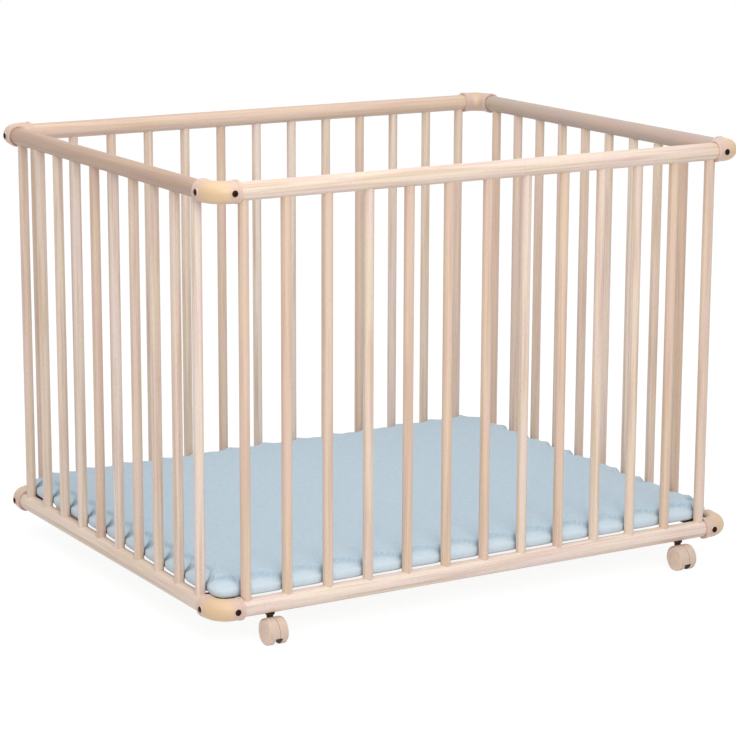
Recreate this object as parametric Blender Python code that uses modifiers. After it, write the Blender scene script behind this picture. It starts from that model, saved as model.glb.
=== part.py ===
"""A child's playpen: round beech rails and bars, moulded corners, castors, floor panel and mat.

Metres, +Z up. X runs along the long sides and Y along the short ones. The origin is on the floor, under
the middle of the pen. Run it with blender --background --python part.py, or from Blender's text editor.
"""

import math

import bmesh
import bpy
from mathutils import Matrix, Vector

# ---- Driving dimensions ------------------------------------------------------------------------------

# The frame: distances between the centrelines of opposite rails.
LENGTH = 0.940
WIDTH = 0.750
HEIGHT = 0.629

# Wooden sticks.
RAIL_RADIUS = 0.014
BAR_RADIUS = 0.008
BARS_LONG_SIDE = 13
BARS_SHORT_SIDE = 10
RIM_TO_BAR_LONG_SIDE = 0.0005  # from a connector's rim to the nearest bar
RIM_TO_BAR_SHORT_SIDE = 0.01125
BAR_SOCKET_DEPTH = 0.012

# Corner connectors.
CONNECTOR_WALL = 0.0027
CONNECTOR_INNER_BEND = 0.009
SOCKET_FLOOR = 0.0043  # plastic between one rail's end and the side of the other rail
SOCKET_DEPTH = 0.0202
RIM_STEP = 0.0008
RIM_LENGTH = 0.0055
BOLT_SETBACK = 0.0067  # from a rail's end to its bolt
BOSS_WALL = 0.0014
BOSS_STEP = 0.0009

# Connector bolts.
BOLT_HEAD_RADIUS = 0.0048
BOLT_HEAD_HEIGHT = 0.0026
BOLT_CROWN_RADIUS = 0.0031  # the flat on top of the head
BOLT_EDGE_HEIGHT = 0.0012  # the upright edge round the head
HEXAGON_WIDTH = 0.0030  # of the key's socket, across flats
HEXAGON_DEPTH = 0.0013
BOLT_SHANK_RADIUS = 0.0025
BOLT_SHANK_LENGTH = 0.0115
BOLT_RECESS = 0.0016

# Castors.
CONNECTOR_TO_CASTOR = 0.049  # from a connector's end to the swivel axis, along the long rail
CASTOR_TRAIL = 0.012
WHEEL_RADIUS = 0.020
WHEEL_WIDTH = 0.0095
WHEEL_GAP = 0.0116  # between the two wheels of a castor
WHEEL_FACE = 0.0022  # thickness of the closed outer face over the axle's end
WHEEL_SHOULDER = 0.0052  # width of the raised band round the dished face
WHEEL_DISH = 0.0008
WHEEL_CHAMFER = 0.0012
WEB_CLEARANCE = 0.0006  # beside each wheel
WEB_FOOT_INSET = 0.0065  # how much shorter than the wheels the web is below the axle
CORE_WALL = 0.0009  # beside each pocket that cores the web out
CORE_TO_HOOD = 0.0014
CORE_TO_AXLE = 0.0030
CORE_START, CORE_END = math.radians(-80), math.radians(8)  # of the front pocket, round the axle
HOOD_WALL = 0.0012
HOOD_CLEARANCE = 0.0006  # over each wheel's tread
HOOD_SHOULDER = 0.0026  # width of the slope that eases each side edge of the hood
HOOD_SHOULDER_DROP = 0.0009
SEAM_WIDTH = 0.0008  # of the parting groove along the hood's middle
SEAM_DEPTH = 0.0005
HOOD_DROP = math.radians(16)  # how far the hood's edge reaches below the level of the axle
AXLE_RADIUS = 0.0025
PIN_RADIUS = 0.0030
PIN_LENGTH = 0.0121
PLUG_RADIUS = 0.0040
PLUG_LENGTH = 0.018
COLLAR_RADIUS = 0.0076
COLLAR_HEIGHT = 0.0041
COLLAR_RIM = 0.0014  # height of the collar's upright edge, above its taper
COLLAR_TAPER = 0.0020

# Brake levers of the two back castors.
PIVOT_INSET = 0.0058  # from the hood's inner wall to the lever's pivot
PIVOT_RISE = math.radians(32.6)  # the pivot's place round the axle, above the level
BRAKE_HUB_RADIUS = 0.0032
BRAKE_ARM_WIDTH = 0.0050
BRAKE_ARM_THICKNESS = 0.0030
BRAKE_RISE = math.radians(28)  # how steeply the free lever points up
BRAKE_TRAVEL = math.radians(16)
PEDAL_WIDTH = 0.0150
PEDAL_LENGTH = 0.0095
PEDAL_THICKNESS = 0.0038
PEDAL_CLEARANCE = 0.005  # from the hood to the pedal, along the arm
PEDAL_RIBS = 4
RIB_RADIUS = 0.0007
RIB_HEIGHT = 0.0006
RIB_PITCH = 0.0022
RIB_INSET = 0.0015  # from the pedal's sides
TRUNNION_RADIUS = 0.0014

# Floor: brackets, panel and mat.
BAR_TO_BRACKET = 0.0004
BRACKET_THICKNESS = 0.004
BRACKET_CHAMFER = 0.0155
LIP_LENGTH = 0.0235
LIP_THICKNESS = 0.0038
LIP_DROP = 0.018
PANEL_THICKNESS = 0.006
PANEL_CLEARANCE = 0.0062  # from the connectors' rims
PANEL_CORNER = 0.030
MAT_THICKNESS = 0.024
MAT_CORNER = 0.045
MAT_EDGE = 0.007
MAT_EDGE_STEPS = 2
MAT_EDGE_ANGLE = math.radians(60)  # a corner sharper than this is softened

GAP = 0.0003  # between pieces that touch
WELD = 0.000005
SHARP_ANGLE = math.radians(40)

# Facets round a full circle.
RAIL_SIDES = 16
BAR_SIDES = 10
BOLT_SIDES = 8
BOSS_SIDES = 8
WHEEL_SIDES = 16
PIN_SIDES = 8
BEND_STEPS = 4
ARC_STEPS = 9

# ---- Sizes that follow from them ---------------------------------------------------------------------

# Connectors and bars. Lengths along a leg are counted from the crossing of the two rail centrelines.
CONNECTOR_RADIUS = RAIL_RADIUS + GAP + CONNECTOR_WALL
CONNECTOR_BEND = CONNECTOR_RADIUS + CONNECTOR_INNER_BEND
RIM_RADIUS = CONNECTOR_RADIUS + RIM_STEP
RAIL_END = RAIL_RADIUS + SOCKET_FLOOR
CONNECTOR_LEG = RAIL_END + SOCKET_DEPTH
BOLT_PLACE = RAIL_END + BOLT_SETBACK
BOSS_RADIUS = BOLT_HEAD_RADIUS + GAP + BOSS_WALL
BOSS_FACE = CONNECTOR_RADIUS + BOSS_STEP  # from the rail's centreline
FIRST_BAR_LONG_SIDE = CONNECTOR_LEG + RIM_TO_BAR_LONG_SIDE + BAR_RADIUS
FIRST_BAR_SHORT_SIDE = CONNECTOR_LEG + RIM_TO_BAR_SHORT_SIDE + BAR_RADIUS

# Castors. Brake places are in the castor's own side view: out from the axle, and up.
CASTOR_PLACE = CONNECTOR_LEG + CONNECTOR_TO_CASTOR
CASTOR_WIDTH = WHEEL_GAP + 2 * WHEEL_WIDTH
WHEEL_OFFSET = (WHEEL_GAP + WHEEL_WIDTH) / 2
WHEEL_DISH_RADIUS = WHEEL_RADIUS - WHEEL_SHOULDER
WEB_WIDTH = WHEEL_GAP - 2 * WEB_CLEARANCE
WEB_FOOT_RADIUS = WHEEL_RADIUS - WEB_FOOT_INSET
HOOD_INNER = WHEEL_RADIUS + HOOD_CLEARANCE
HOOD_OUTER = HOOD_INNER + HOOD_WALL
HOOD_TOP_Z = WHEEL_RADIUS + HOOD_OUTER
COLLAR_Z = HOOD_TOP_Z + GAP
CASTOR_HEIGHT = COLLAR_Z + COLLAR_HEIGHT + GAP  # from the floor to the underside of the bottom rail
PIN_FOOT_Z = COLLAR_Z - PIN_LENGTH
PIVOT_RADIUS = HOOD_INNER - PIVOT_INSET
BRAKE_PIVOT = (PIVOT_RADIUS * math.cos(PIVOT_RISE), PIVOT_RADIUS * math.sin(PIVOT_RISE))
BRAKE_REACH = HOOD_OUTER - PIVOT_RADIUS + PEDAL_CLEARANCE + PEDAL_LENGTH  # from the pivot

# Heights of the frame and the floor.
BOTTOM_RAIL_Z = CASTOR_HEIGHT + RAIL_RADIUS
TOP_RAIL_Z = BOTTOM_RAIL_Z + HEIGHT
SOCKET_CEILING_Z = TOP_RAIL_Z - RAIL_RADIUS + BAR_SOCKET_DEPTH
MAT_Z = BOTTOM_RAIL_Z + RIM_RADIUS + 2 * GAP
PANEL_Z = MAT_Z - GAP - PANEL_THICKNESS
BRACKET_Z = PANEL_Z - GAP - BRACKET_THICKNESS
BRACKET_REACH = CONNECTOR_LEG + LIP_LENGTH
BRACKET_SHOULDER = BAR_RADIUS + BAR_TO_BRACKET
PANEL_INSET = RIM_RADIUS + PANEL_CLEARANCE  # from the rails' centrelines

# A corner's name, its signs along X and Y, and the turn that brings legs on +X and +Y to it.
CORNERS = (
    ("front_left", -1, -1, 0.0),
    ("front_right", 1, -1, math.pi / 2),
    ("back_right", 1, 1, math.pi),
    ("back_left", -1, 1, -math.pi / 2),
)


# ---- Scene, collections and materials ----------------------------------------------------------------


def clear_scene():
    for old in list(bpy.data.objects):
        bpy.data.objects.remove(old, do_unlink=True)


def new_collection(name):
    made = bpy.data.collections.new(name)
    bpy.context.scene.collection.children.link(made)
    return made


def linear(hex_colour):
    """An sRGB hex colour such as E2CBBA as linear RGBA."""
    channels = [int(hex_colour[i : i + 2], 16) / 255 for i in (0, 2, 4)]
    return [c / 12.92 if c <= 0.04045 else ((c + 0.055) / 1.055) ** 2.4 for c in channels] + [1.0]


def new_material(name, hex_colour, roughness, metallic=0.0):
    made = bpy.data.materials.new(name)
    made.use_nodes = True
    shader = made.node_tree.nodes["Principled BSDF"]
    shader.inputs["Base Color"].default_value = linear(hex_colour)
    shader.inputs["Roughness"].default_value = roughness
    shader.inputs["Metallic"].default_value = metallic
    made.diffuse_color = linear(hex_colour)
    return made


# ---- Shapes ------------------------------------------------------------------------------------------


def linked(name, data):
    made = bpy.data.objects.new(name, data)
    CUTTERS.objects.link(made)
    return made


def baked(source):
    """The shape with its modifiers applied, as a plain mesh. The source is removed."""
    bpy.context.view_layer.update()
    seen = source.evaluated_get(bpy.context.evaluated_depsgraph_get())
    mesh = bpy.data.meshes.new_from_object(seen)
    made = linked(source.name + "_mesh", mesh)
    made.matrix_world = source.matrix_world.copy()
    bpy.data.objects.remove(source, do_unlink=True)
    work = bmesh.new()
    work.from_mesh(mesh)
    bmesh.ops.remove_doubles(work, verts=work.verts, dist=WELD)
    work.to_mesh(mesh)
    work.free()
    return made


def cylinder(name, start, end, radius, sides):
    """A round rod from start to end, with a facet edge on its local X axis."""
    start, end = Vector(start), Vector(end)
    work = bmesh.new()
    bmesh.ops.create_cone(
        work,
        cap_ends=True,
        segments=sides,
        radius1=radius,
        radius2=radius,
        depth=(end - start).length,
        matrix=Matrix.Translation((start + end) / 2)
        @ (end - start).to_track_quat("Z", "Y").to_matrix().to_4x4(),
    )
    mesh = bpy.data.meshes.new(name)
    work.to_mesh(mesh)
    work.free()
    return linked(name, mesh)


def box(name, low, high):
    low, high = Vector(low), Vector(high)
    work = bmesh.new()
    bmesh.ops.create_cube(
        work,
        size=1.0,
        matrix=Matrix.Translation((low + high) / 2) @ Matrix.Diagonal((*(high - low), 1.0)),
    )
    mesh = bpy.data.meshes.new(name)
    work.to_mesh(mesh)
    work.free()
    return linked(name, mesh)


def tube(name, points, radius, sides):
    """A round tube or rail along a line of points, closed at both ends."""
    curve = bpy.data.curves.new(name, "CURVE")
    curve.dimensions = "3D"
    curve.bevel_depth = radius
    curve.bevel_resolution = sides // 2 - 2
    curve.use_fill_caps = True
    spline = curve.splines.new("POLY")
    spline.points.add(len(points) - 1)
    for point, place in zip(spline.points, points):
        point.co = (*place, 1.0)
    return baked(linked(name, curve))


def extruded(name, outline, thickness):
    """A flat outline in the XY plane, given half its thickness on each side."""
    curve = bpy.data.curves.new(name, "CURVE")
    curve.dimensions = "2D"
    curve.fill_mode = "BOTH"
    curve.extrude = thickness / 2
    spline = curve.splines.new("POLY")
    spline.points.add(len(outline) - 1)
    for point, (x, y) in zip(spline.points, outline):
        point.co = (x, y, 0.0, 1.0)
    spline.use_cyclic_u = True
    return baked(linked(name, curve))


def turned(name, profile, sides):
    """A shape turned about Z from (radius, height) points that run down its outer side."""
    mesh = bpy.data.meshes.new(name)
    places = [(radius, 0.0, height) for radius, height in profile]
    mesh.from_pydata(places, [(i, i + 1) for i in range(len(places) - 1)], [])
    made = linked(name, mesh)
    screw = made.modifiers.new("turn", "SCREW")
    screw.axis = "Z"
    screw.steps = screw.render_steps = sides
    screw.use_merge_vertices = True
    screw.merge_threshold = WELD
    return baked(made)


def arc(centre, radius, start, end, steps):
    """Points on a circle from one angle to another, both included."""
    return [
        (
            centre[0] + radius * math.cos(start + (end - start) * i / steps),
            centre[1] + radius * math.sin(start + (end - start) * i / steps),
        )
        for i in range(steps + 1)
    ]


def rounded_rectangle(length, width, corner, steps):
    outline = []
    for quarter, (sx, sy) in enumerate(((1, 1), (-1, 1), (-1, -1), (1, -1))):
        centre = (sx * (length / 2 - corner), sy * (width / 2 - corner))
        outline += arc(centre, corner, quarter * math.pi / 2, (quarter + 1) * math.pi / 2, steps)
    return outline


def moved(piece, matrix):
    """The piece with a placement worked into its mesh. A mirrored one keeps its faces pointing out."""
    piece.data.transform(matrix)
    if matrix.determinant() < 0:
        piece.data.flip_normals()
    return piece


def combine(piece, others, operation):
    """The piece joined with the others, or cut by them. The others are used up."""
    for other in others:
        step = piece.modifiers.new(other.name, "BOOLEAN")
        step.operation = operation
        step.solver = "EXACT"
        step.object = other
        other.hide_render = True
        other.display_type = "WIRE"
    made = baked(piece)
    for other in others:
        bpy.data.objects.remove(other, do_unlink=True)
    return made


def join(piece, *others):
    return combine(piece, others, "UNION")


def cut(piece, *others):
    return combine(piece, others, "DIFFERENCE")


def place(shape, name, material, matrix=None, parent=None):
    """Puts a copy of a finished shape into the pen as one named piece."""
    made = bpy.data.objects.new(name, shape.data)
    PEN.objects.link(made)
    made.parent = parent
    if matrix is not None:
        made.matrix_basis = matrix
    if not made.data.materials:
        made.data.materials.append(material)
        made.data.shade_smooth()
        made.data.set_sharp_from_angle(angle=SHARP_ANGLE)
    return made


def place_once(shape, name, material, matrix=None, parent=None):
    made = place(shape, name, material, matrix, parent)
    bpy.data.objects.remove(shape, do_unlink=True)
    return made


def upright(turn, location):
    """A placement: turned about Z, then moved."""
    return Matrix.Translation(location) @ Matrix.Rotation(turn, 4, "Z")


# ---- Rails and bars ----------------------------------------------------------------------------------


def bar_places(span, first, count):
    """Places of the bars along a side, from its middle."""
    pitch = (span - 2 * first) / (count - 1)
    return [first - span / 2 + i * pitch for i in range(count)]


def bolt_holes(span, height):
    """Pilot holes for the connector bolts at both ends of a rail along X, on its outer side, -Y."""
    depth = BOSS_FACE - BOLT_RECESS - BOLT_SHANK_LENGTH - GAP
    return [
        cylinder(
            "pilot_hole",
            (side * (span / 2 - BOLT_PLACE), -2 * RAIL_RADIUS, height),
            (side * (span / 2 - BOLT_PLACE), -depth, height),
            BOLT_SHANK_RADIUS + GAP,
            BOLT_SIDES,
        )
        for side in (-1, 1)
    ]


def rail(span, height):
    end = span / 2 - RAIL_END
    return tube("rail", [(-end, 0.0, height), (end, 0.0, height)], RAIL_RADIUS, RAIL_SIDES)


def top_rail(span, first, count):
    """A hand rail with a blind socket for each bar on its underside."""
    sockets = [
        cylinder(
            "bar_socket",
            (x, 0.0, TOP_RAIL_Z - 2 * RAIL_RADIUS),
            (x, 0.0, SOCKET_CEILING_Z),
            BAR_RADIUS + GAP,
            BAR_SIDES,
        )
        for x in bar_places(span, first, count)
    ]
    return cut(rail(span, TOP_RAIL_Z), *sockets, *bolt_holes(span, TOP_RAIL_Z))


def bottom_rail(span, first, count, castor_places):
    """A bottom rail with its bars glued in, and plug holes for the castors on its underside."""
    bars = [
        cylinder(
            "bar",
            (x, 0.0, BOTTOM_RAIL_Z),
            (x, 0.0, SOCKET_CEILING_Z - GAP),
            BAR_RADIUS,
            BAR_SIDES,
        )
        for x in bar_places(span, first, count)
    ]
    plug_holes = [
        cylinder(
            "plug_hole",
            (x, 0.0, CASTOR_HEIGHT - RAIL_RADIUS),
            (x, 0.0, CASTOR_HEIGHT + PLUG_LENGTH + GAP),
            PLUG_RADIUS + GAP,
            PIN_SIDES,
        )
        for x in castor_places
    ]
    joined = join(rail(span, BOTTOM_RAIL_Z), *bars)
    return cut(joined, *plug_holes, *bolt_holes(span, BOTTOM_RAIL_Z))


def build_sides():
    castor_x = LENGTH / 2 - CASTOR_PLACE
    long_side = (LENGTH, FIRST_BAR_LONG_SIDE, BARS_LONG_SIDE)
    short_side = (WIDTH, FIRST_BAR_SHORT_SIDE, BARS_SHORT_SIDE)
    sides = (
        ("front", long_side, (0.0, -WIDTH / 2), 0.0, (-castor_x, castor_x)),
        ("back", long_side, (0.0, WIDTH / 2), math.pi, (-castor_x, castor_x)),
        ("left", short_side, (-LENGTH / 2, 0.0), -math.pi / 2, ()),
        ("right", short_side, (LENGTH / 2, 0.0), math.pi / 2, ()),
    )
    for name, measures, (x, y), turn, castors in sides:
        where = upright(turn, (x, y, 0.0))
        place_once(top_rail(*measures), f"{name}_top_rail", BEECH, where)
        place_once(bottom_rail(*measures, castors), f"{name}_bottom_rail_with_bars", BEECH, where)


# ---- Corner connectors -------------------------------------------------------------------------------


SWAP_XY = Matrix(((0, 1, 0, 0), (1, 0, 0, 0), (0, 0, 1, 0), (0, 0, 0, 1)))


def elbow_line():
    """A line that comes down the X leg, turns the corner and leaves along the Y leg."""
    centre = (CONNECTOR_BEND, CONNECTOR_BEND)
    bend = arc(centre, CONNECTOR_BEND, -math.pi / 2, -math.pi, BEND_STEPS)
    return [(CONNECTOR_LEG, 0.0, 0.0), *[(x, y, 0.0) for x, y in bend], (0.0, CONNECTOR_LEG, 0.0)]


def both_legs(piece):
    """The piece, and a copy for the other leg with X and Y swapped."""
    copy = linked(piece.name + "_other_leg", piece.data.copy())
    return piece, moved(copy, SWAP_XY)


def connector():
    """A quarter-turn elbow with a socket for each rail, an end rim and a bolt boss on each leg."""

    def along(name, start, end, radius):
        return cylinder(name, (start, 0, 0), (end, 0, 0), radius, RAIL_SIDES)

    def across(name, start, end, radius, sides):
        return cylinder(name, (BOLT_PLACE, -start, 0), (BOLT_PLACE, -end, 0), radius, sides)

    seat = BOSS_FACE - BOLT_RECESS
    body = tube("connector", elbow_line(), CONNECTOR_RADIUS, RAIL_SIDES)
    rim = along("rim", CONNECTOR_LEG - RIM_LENGTH, CONNECTOR_LEG, RIM_RADIUS)
    boss = across("boss", BOSS_RADIUS, BOSS_FACE, BOSS_RADIUS, BOSS_SIDES)
    socket = along("rail_socket", RAIL_END - GAP, CONNECTOR_LEG + GAP, RAIL_RADIUS + GAP)
    recess = across("head_recess", seat, 2 * seat, BOLT_HEAD_RADIUS + GAP, BOLT_SIDES)
    hole = across("bolt_hole", 0, seat + GAP, BOLT_SHANK_RADIUS + GAP, BOLT_SIDES)
    body = join(body, *both_legs(rim), *both_legs(boss))
    return cut(body, *both_legs(socket), *both_legs(recess), *both_legs(hole))


def bolt():
    """A button-headed bolt along Z, its head's seat at zero and a socket for a hexagon key on top."""
    profile = (
        (0.0, BOLT_HEAD_HEIGHT),
        (BOLT_CROWN_RADIUS, BOLT_HEAD_HEIGHT),
        (BOLT_HEAD_RADIUS, BOLT_EDGE_HEIGHT),
        (BOLT_HEAD_RADIUS, 0.0),
        (BOLT_SHANK_RADIUS, 0.0),
        (BOLT_SHANK_RADIUS, -BOLT_SHANK_LENGTH),
        (0.0, -BOLT_SHANK_LENGTH),
    )
    hexagon_radius = HEXAGON_WIDTH / 2 / math.cos(math.pi / 6)
    foot, mouth = (0, 0, BOLT_HEAD_HEIGHT - HEXAGON_DEPTH), (0, 0, BOLT_HEAD_HEIGHT + GAP)
    socket = cylinder("hexagon_socket", foot, mouth, hexagon_radius, 6)
    return cut(turned("bolt", profile, BOLT_SIDES), socket)


def build_connectors():
    connector_shape, bolt_shape = connector(), bolt()
    seat = BOSS_FACE - BOLT_RECESS + GAP
    facing_front = Matrix.Rotation(math.pi / 2, 4, "X")
    facing_left = Matrix.Rotation(-math.pi / 2, 4, "Y")
    outward = {
        "long_rail": Matrix.Translation((BOLT_PLACE, -seat, 0)) @ facing_front,
        "short_rail": Matrix.Translation((-seat, BOLT_PLACE, 0)) @ facing_left,
    }
    turned_legs = {"long_rail": "short_rail", "short_rail": "long_rail"}
    for level, z in (("top", TOP_RAIL_Z), ("bottom", BOTTOM_RAIL_Z)):
        for corner, sx, sy, turn in CORNERS:
            where = upright(turn, (sx * LENGTH / 2, sy * WIDTH / 2, z))
            place(connector_shape, f"{level}_connector_{corner}", CONNECTOR_PLASTIC, where)
            for leg, face in outward.items():
                rail_name = leg if sx == sy else turned_legs[leg]
                place(bolt_shape, f"{level}_bolt_{corner}_{rail_name}", BOLT_STEEL, where @ face)
    for shape in (connector_shape, bolt_shape):
        bpy.data.objects.remove(shape, do_unlink=True)


# ---- Castors -----------------------------------------------------------------------------------------
# A castor is modelled round its swivel axis, with the floor at zero and its wheels trailing towards -Y.
# Its side views are drawn as (out, up): out from the axle towards -Y, and up from the axle.

SIDE_VIEW = Matrix(((0, 0, 1, 0), (-1, 0, 0, 0), (0, 1, 0, 0), (0, 0, 0, 1)))
AXLE_PLACE = Matrix.Translation((0, -CASTOR_TRAIL, WHEEL_RADIUS))


def side_plate(name, outline, thickness):
    """A plate across X with an outline drawn in the castor's side view."""
    return moved(extruded(name, outline, thickness), AXLE_PLACE @ SIDE_VIEW)


def round_band(name, section, start, end):
    """A band bent round the axle in the castor's side view, its section given as (radius, across)."""
    work = bmesh.new()
    rim = [(r * math.cos(start), r * math.sin(start), across) for r, across in section]
    face = work.faces.new([work.verts.new(place) for place in rim])
    bmesh.ops.spin(work, geom=[face], axis=(0, 0, 1), angle=end - start, steps=ARC_STEPS)
    bmesh.ops.recalc_face_normals(work, faces=work.faces)
    mesh = bpy.data.meshes.new(name)
    work.to_mesh(mesh)
    work.free()
    return moved(linked(name, mesh), AXLE_PLACE @ SIDE_VIEW)


def cross_rod(name, out, up, radius, half_length, sides):
    """A rod across X through a point of the castor's side view."""
    y, z = -CASTOR_TRAIL - out, WHEEL_RADIUS + up
    return cylinder(name, (-half_length, y, z), (half_length, y, z), radius, sides)


def castor_stem():
    """The fixed stem: a plug for the rail, a collar under it and the pin that the hood turns on."""
    plug_top = CASTOR_HEIGHT + PLUG_LENGTH
    profile = (
        (0.0, plug_top),
        (PLUG_RADIUS, plug_top),
        (PLUG_RADIUS, COLLAR_Z + COLLAR_HEIGHT),
        (COLLAR_RADIUS, COLLAR_Z + COLLAR_HEIGHT),
        (COLLAR_RADIUS, COLLAR_Z + COLLAR_HEIGHT - COLLAR_RIM),
        (COLLAR_RADIUS - COLLAR_TAPER, COLLAR_Z),
        (PIN_RADIUS, COLLAR_Z),
        (PIN_RADIUS, PIN_FOOT_Z),
        (0.0, PIN_FOOT_Z),
    )
    return turned("castor_stem", profile, PIN_SIDES)


def core(first, last):
    """A pocket in the web, between two angles round the axle. It opens at the web's foot."""
    outline = arc((0, 0), HOOD_INNER - CORE_TO_HOOD, first, last, ARC_STEPS)
    outline += arc((0, 0), AXLE_RADIUS + CORE_TO_AXLE, last, first, ARC_STEPS // 2)
    return side_plate("core", outline, WEB_WIDTH - 2 * CORE_WALL)


def castor_hood():
    """The swivelling body: a cored web between the wheels, and a hood that covers their treads."""
    start, end = -HOOD_DROP, math.pi + HOOD_DROP
    edge, shoulder = CASTOR_WIDTH / 2, CASTOR_WIDTH / 2 - HOOD_SHOULDER
    section = (
        (HOOD_INNER, edge),
        (HOOD_INNER, -edge),
        (HOOD_OUTER - HOOD_SHOULDER_DROP, -edge),
        (HOOD_OUTER, -shoulder),
        (HOOD_OUTER, -SEAM_WIDTH / 2),
        (HOOD_OUTER - SEAM_DEPTH, 0.0),
        (HOOD_OUTER, SEAM_WIDTH / 2),
        (HOOD_OUTER, shoulder),
        (HOOD_OUTER - HOOD_SHOULDER_DROP, edge),
    )
    web = arc((0, 0), HOOD_INNER + HOOD_WALL / 2, start, end, ARC_STEPS)
    web += arc((0, 0), WEB_FOOT_RADIUS, end, start + 2 * math.pi, ARC_STEPS // 2)
    neck = cylinder("neck", (0, 0, PIN_FOOT_Z), (0, 0, HOOD_TOP_Z), WEB_WIDTH / 2, WHEEL_SIDES)
    hood = round_band("hood", section, start, end)
    body = join(hood, side_plate("web", web, WEB_WIDTH), neck)
    bore_foot, bore_top = (0, 0, PIN_FOOT_Z - GAP), (0, 0, CASTOR_HEIGHT)
    pin_bore = cylinder("pin_bore", bore_foot, bore_top, PIN_RADIUS + GAP, PIN_SIDES)
    axle_bore = cross_rod("axle_bore", 0, 0, AXLE_RADIUS + GAP, WEB_WIDTH, PIN_SIDES)
    cores = core(CORE_START, CORE_END), core(math.pi - CORE_END, math.pi - CORE_START)
    return cut(body, *cores, pin_bore, axle_bore)


def brake_slot():
    """The room in a hood that a brake lever's arm and trunnions move in."""
    half_slot = BRAKE_ARM_WIDTH / 2 + GAP
    low, high = BRAKE_RISE - BRAKE_TRAVEL, BRAKE_RISE
    half_arm = BRAKE_ARM_THICKNESS / 2 + GAP
    reach = BRAKE_REACH + WHEEL_RADIUS
    hub = BRAKE_HUB_RADIUS + GAP

    def beside(angle, distance, offset):
        out = BRAKE_PIVOT[0] + distance * math.cos(angle) - offset * math.sin(angle)
        return out, BRAKE_PIVOT[1] + distance * math.sin(angle) + offset * math.cos(angle)

    flare = math.asin(half_arm / hub)
    outline = arc(BRAKE_PIVOT, hub, high + flare, 2 * math.pi + low - flare, ARC_STEPS)
    outline += [beside(low, reach, -half_arm), beside(high, reach, half_arm)]
    slot = side_plate("brake_slot", outline, 2 * half_slot)
    hole = cross_rod("trunnion_hole", *BRAKE_PIVOT, TRUNNION_RADIUS + GAP, WEB_WIDTH, PIN_SIDES)
    return slot, hole


def brake_lever():
    """A foot lever about its pivot: hub, trunnions, and an arm with a pedal outside the hood."""
    half_arm = BRAKE_ARM_THICKNESS / 2
    flare = math.asin(half_arm / BRAKE_HUB_RADIUS)
    outline = arc((0, 0), BRAKE_HUB_RADIUS, flare, 2 * math.pi - flare, ARC_STEPS)
    outline += [(BRAKE_REACH, -half_arm), (BRAKE_REACH, half_arm)]
    arm = extruded("brake_arm", outline, BRAKE_ARM_WIDTH)
    half_pedal, half_width = PEDAL_THICKNESS / 2, PEDAL_WIDTH / 2
    near, far = BRAKE_REACH - PEDAL_LENGTH, BRAKE_REACH + half_pedal
    pedal = box(
        "pedal", (near, -half_pedal, -half_width), (far, half_pedal - RIB_HEIGHT, half_width)
    )
    first_rib = (near + far - (PEDAL_RIBS - 1) * RIB_PITCH) / 2
    ribs = [
        cylinder(
            "rib",
            (first_rib + i * RIB_PITCH, half_pedal - RIB_RADIUS, RIB_INSET - half_width),
            (first_rib + i * RIB_PITCH, half_pedal - RIB_RADIUS, half_width - RIB_INSET),
            RIB_RADIUS,
            PIN_SIDES,
        )
        for i in range(PEDAL_RIBS)
    ]
    trunnions = cylinder(
        "trunnions", (0, 0, -WEB_WIDTH / 2), (0, 0, WEB_WIDTH / 2), TRUNNION_RADIUS, PIN_SIDES
    )
    lever = join(arm, pedal, trunnions, *ribs)
    return moved(lever, SIDE_VIEW @ Matrix.Rotation(BRAKE_RISE, 4, "Z"))


def castor_wheel():
    """A wheel about its own centre on X: dished outer face at +X, blind bore on the inner side."""
    half = WHEEL_WIDTH / 2
    profile = (
        (0.0, half - WHEEL_DISH),
        (WHEEL_DISH_RADIUS, half - WHEEL_DISH),
        (WHEEL_DISH_RADIUS + 2 * WHEEL_DISH, half),
        (WHEEL_RADIUS - WHEEL_CHAMFER, half),
        (WHEEL_RADIUS, half - WHEEL_CHAMFER),
        (WHEEL_RADIUS, -half),
        (AXLE_RADIUS + GAP, -half),
        (AXLE_RADIUS + GAP, half - WHEEL_FACE),
        (0.0, half - WHEEL_FACE),
    )
    return moved(turned("castor_wheel", profile, WHEEL_SIDES), Matrix.Rotation(math.pi / 2, 4, "Y"))


def build_castors():
    stem, plain_hood, braked_hood = castor_stem(), castor_hood(), cut(castor_hood(), *brake_slot())
    wheel, lever = castor_wheel(), brake_lever()
    half_axle = CASTOR_WIDTH / 2 - WHEEL_FACE - GAP
    axle = cylinder("castor_axle", (-half_axle, 0, 0), (half_axle, 0, 0), AXLE_RADIUS, PIN_SIDES)
    for corner, sx, sy, _ in CORNERS:
        swivel = bpy.data.objects.new(f"castor_swivel_axis_{corner}", None)
        PEN.objects.link(swivel)
        swivel.location = (sx * (LENGTH / 2 - CASTOR_PLACE), sy * WIDTH / 2, 0.0)
        hood = plain_hood if sy < 0 else braked_hood
        place(stem, f"castor_stem_{corner}", CASTOR_STEEL, parent=swivel)
        place(hood, f"castor_hood_{corner}", CASTOR_PLASTIC, parent=swivel)
        place(axle, f"castor_axle_{corner}", CASTOR_STEEL, AXLE_PLACE, swivel)
        for side in (-1, 1):
            name = f"castor_wheel_{corner}_{'outer' if side == sx else 'inner'}"
            turn = 0.0 if side > 0 else math.pi
            spun = upright(turn, (side * WHEEL_OFFSET, -CASTOR_TRAIL, WHEEL_RADIUS))
            place(wheel, name, CASTOR_PLASTIC, spun, swivel)
        if sy > 0:
            out, up = BRAKE_PIVOT
            pivot = Matrix.Translation((0, -CASTOR_TRAIL - out, WHEEL_RADIUS + up))
            place(lever, f"castor_brake_{corner}", CASTOR_STEEL, pivot, swivel)
    for shape in (stem, plain_hood, braked_hood, wheel, lever, axle):
        bpy.data.objects.remove(shape, do_unlink=True)


# ---- Floor -------------------------------------------------------------------------------------------


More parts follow.
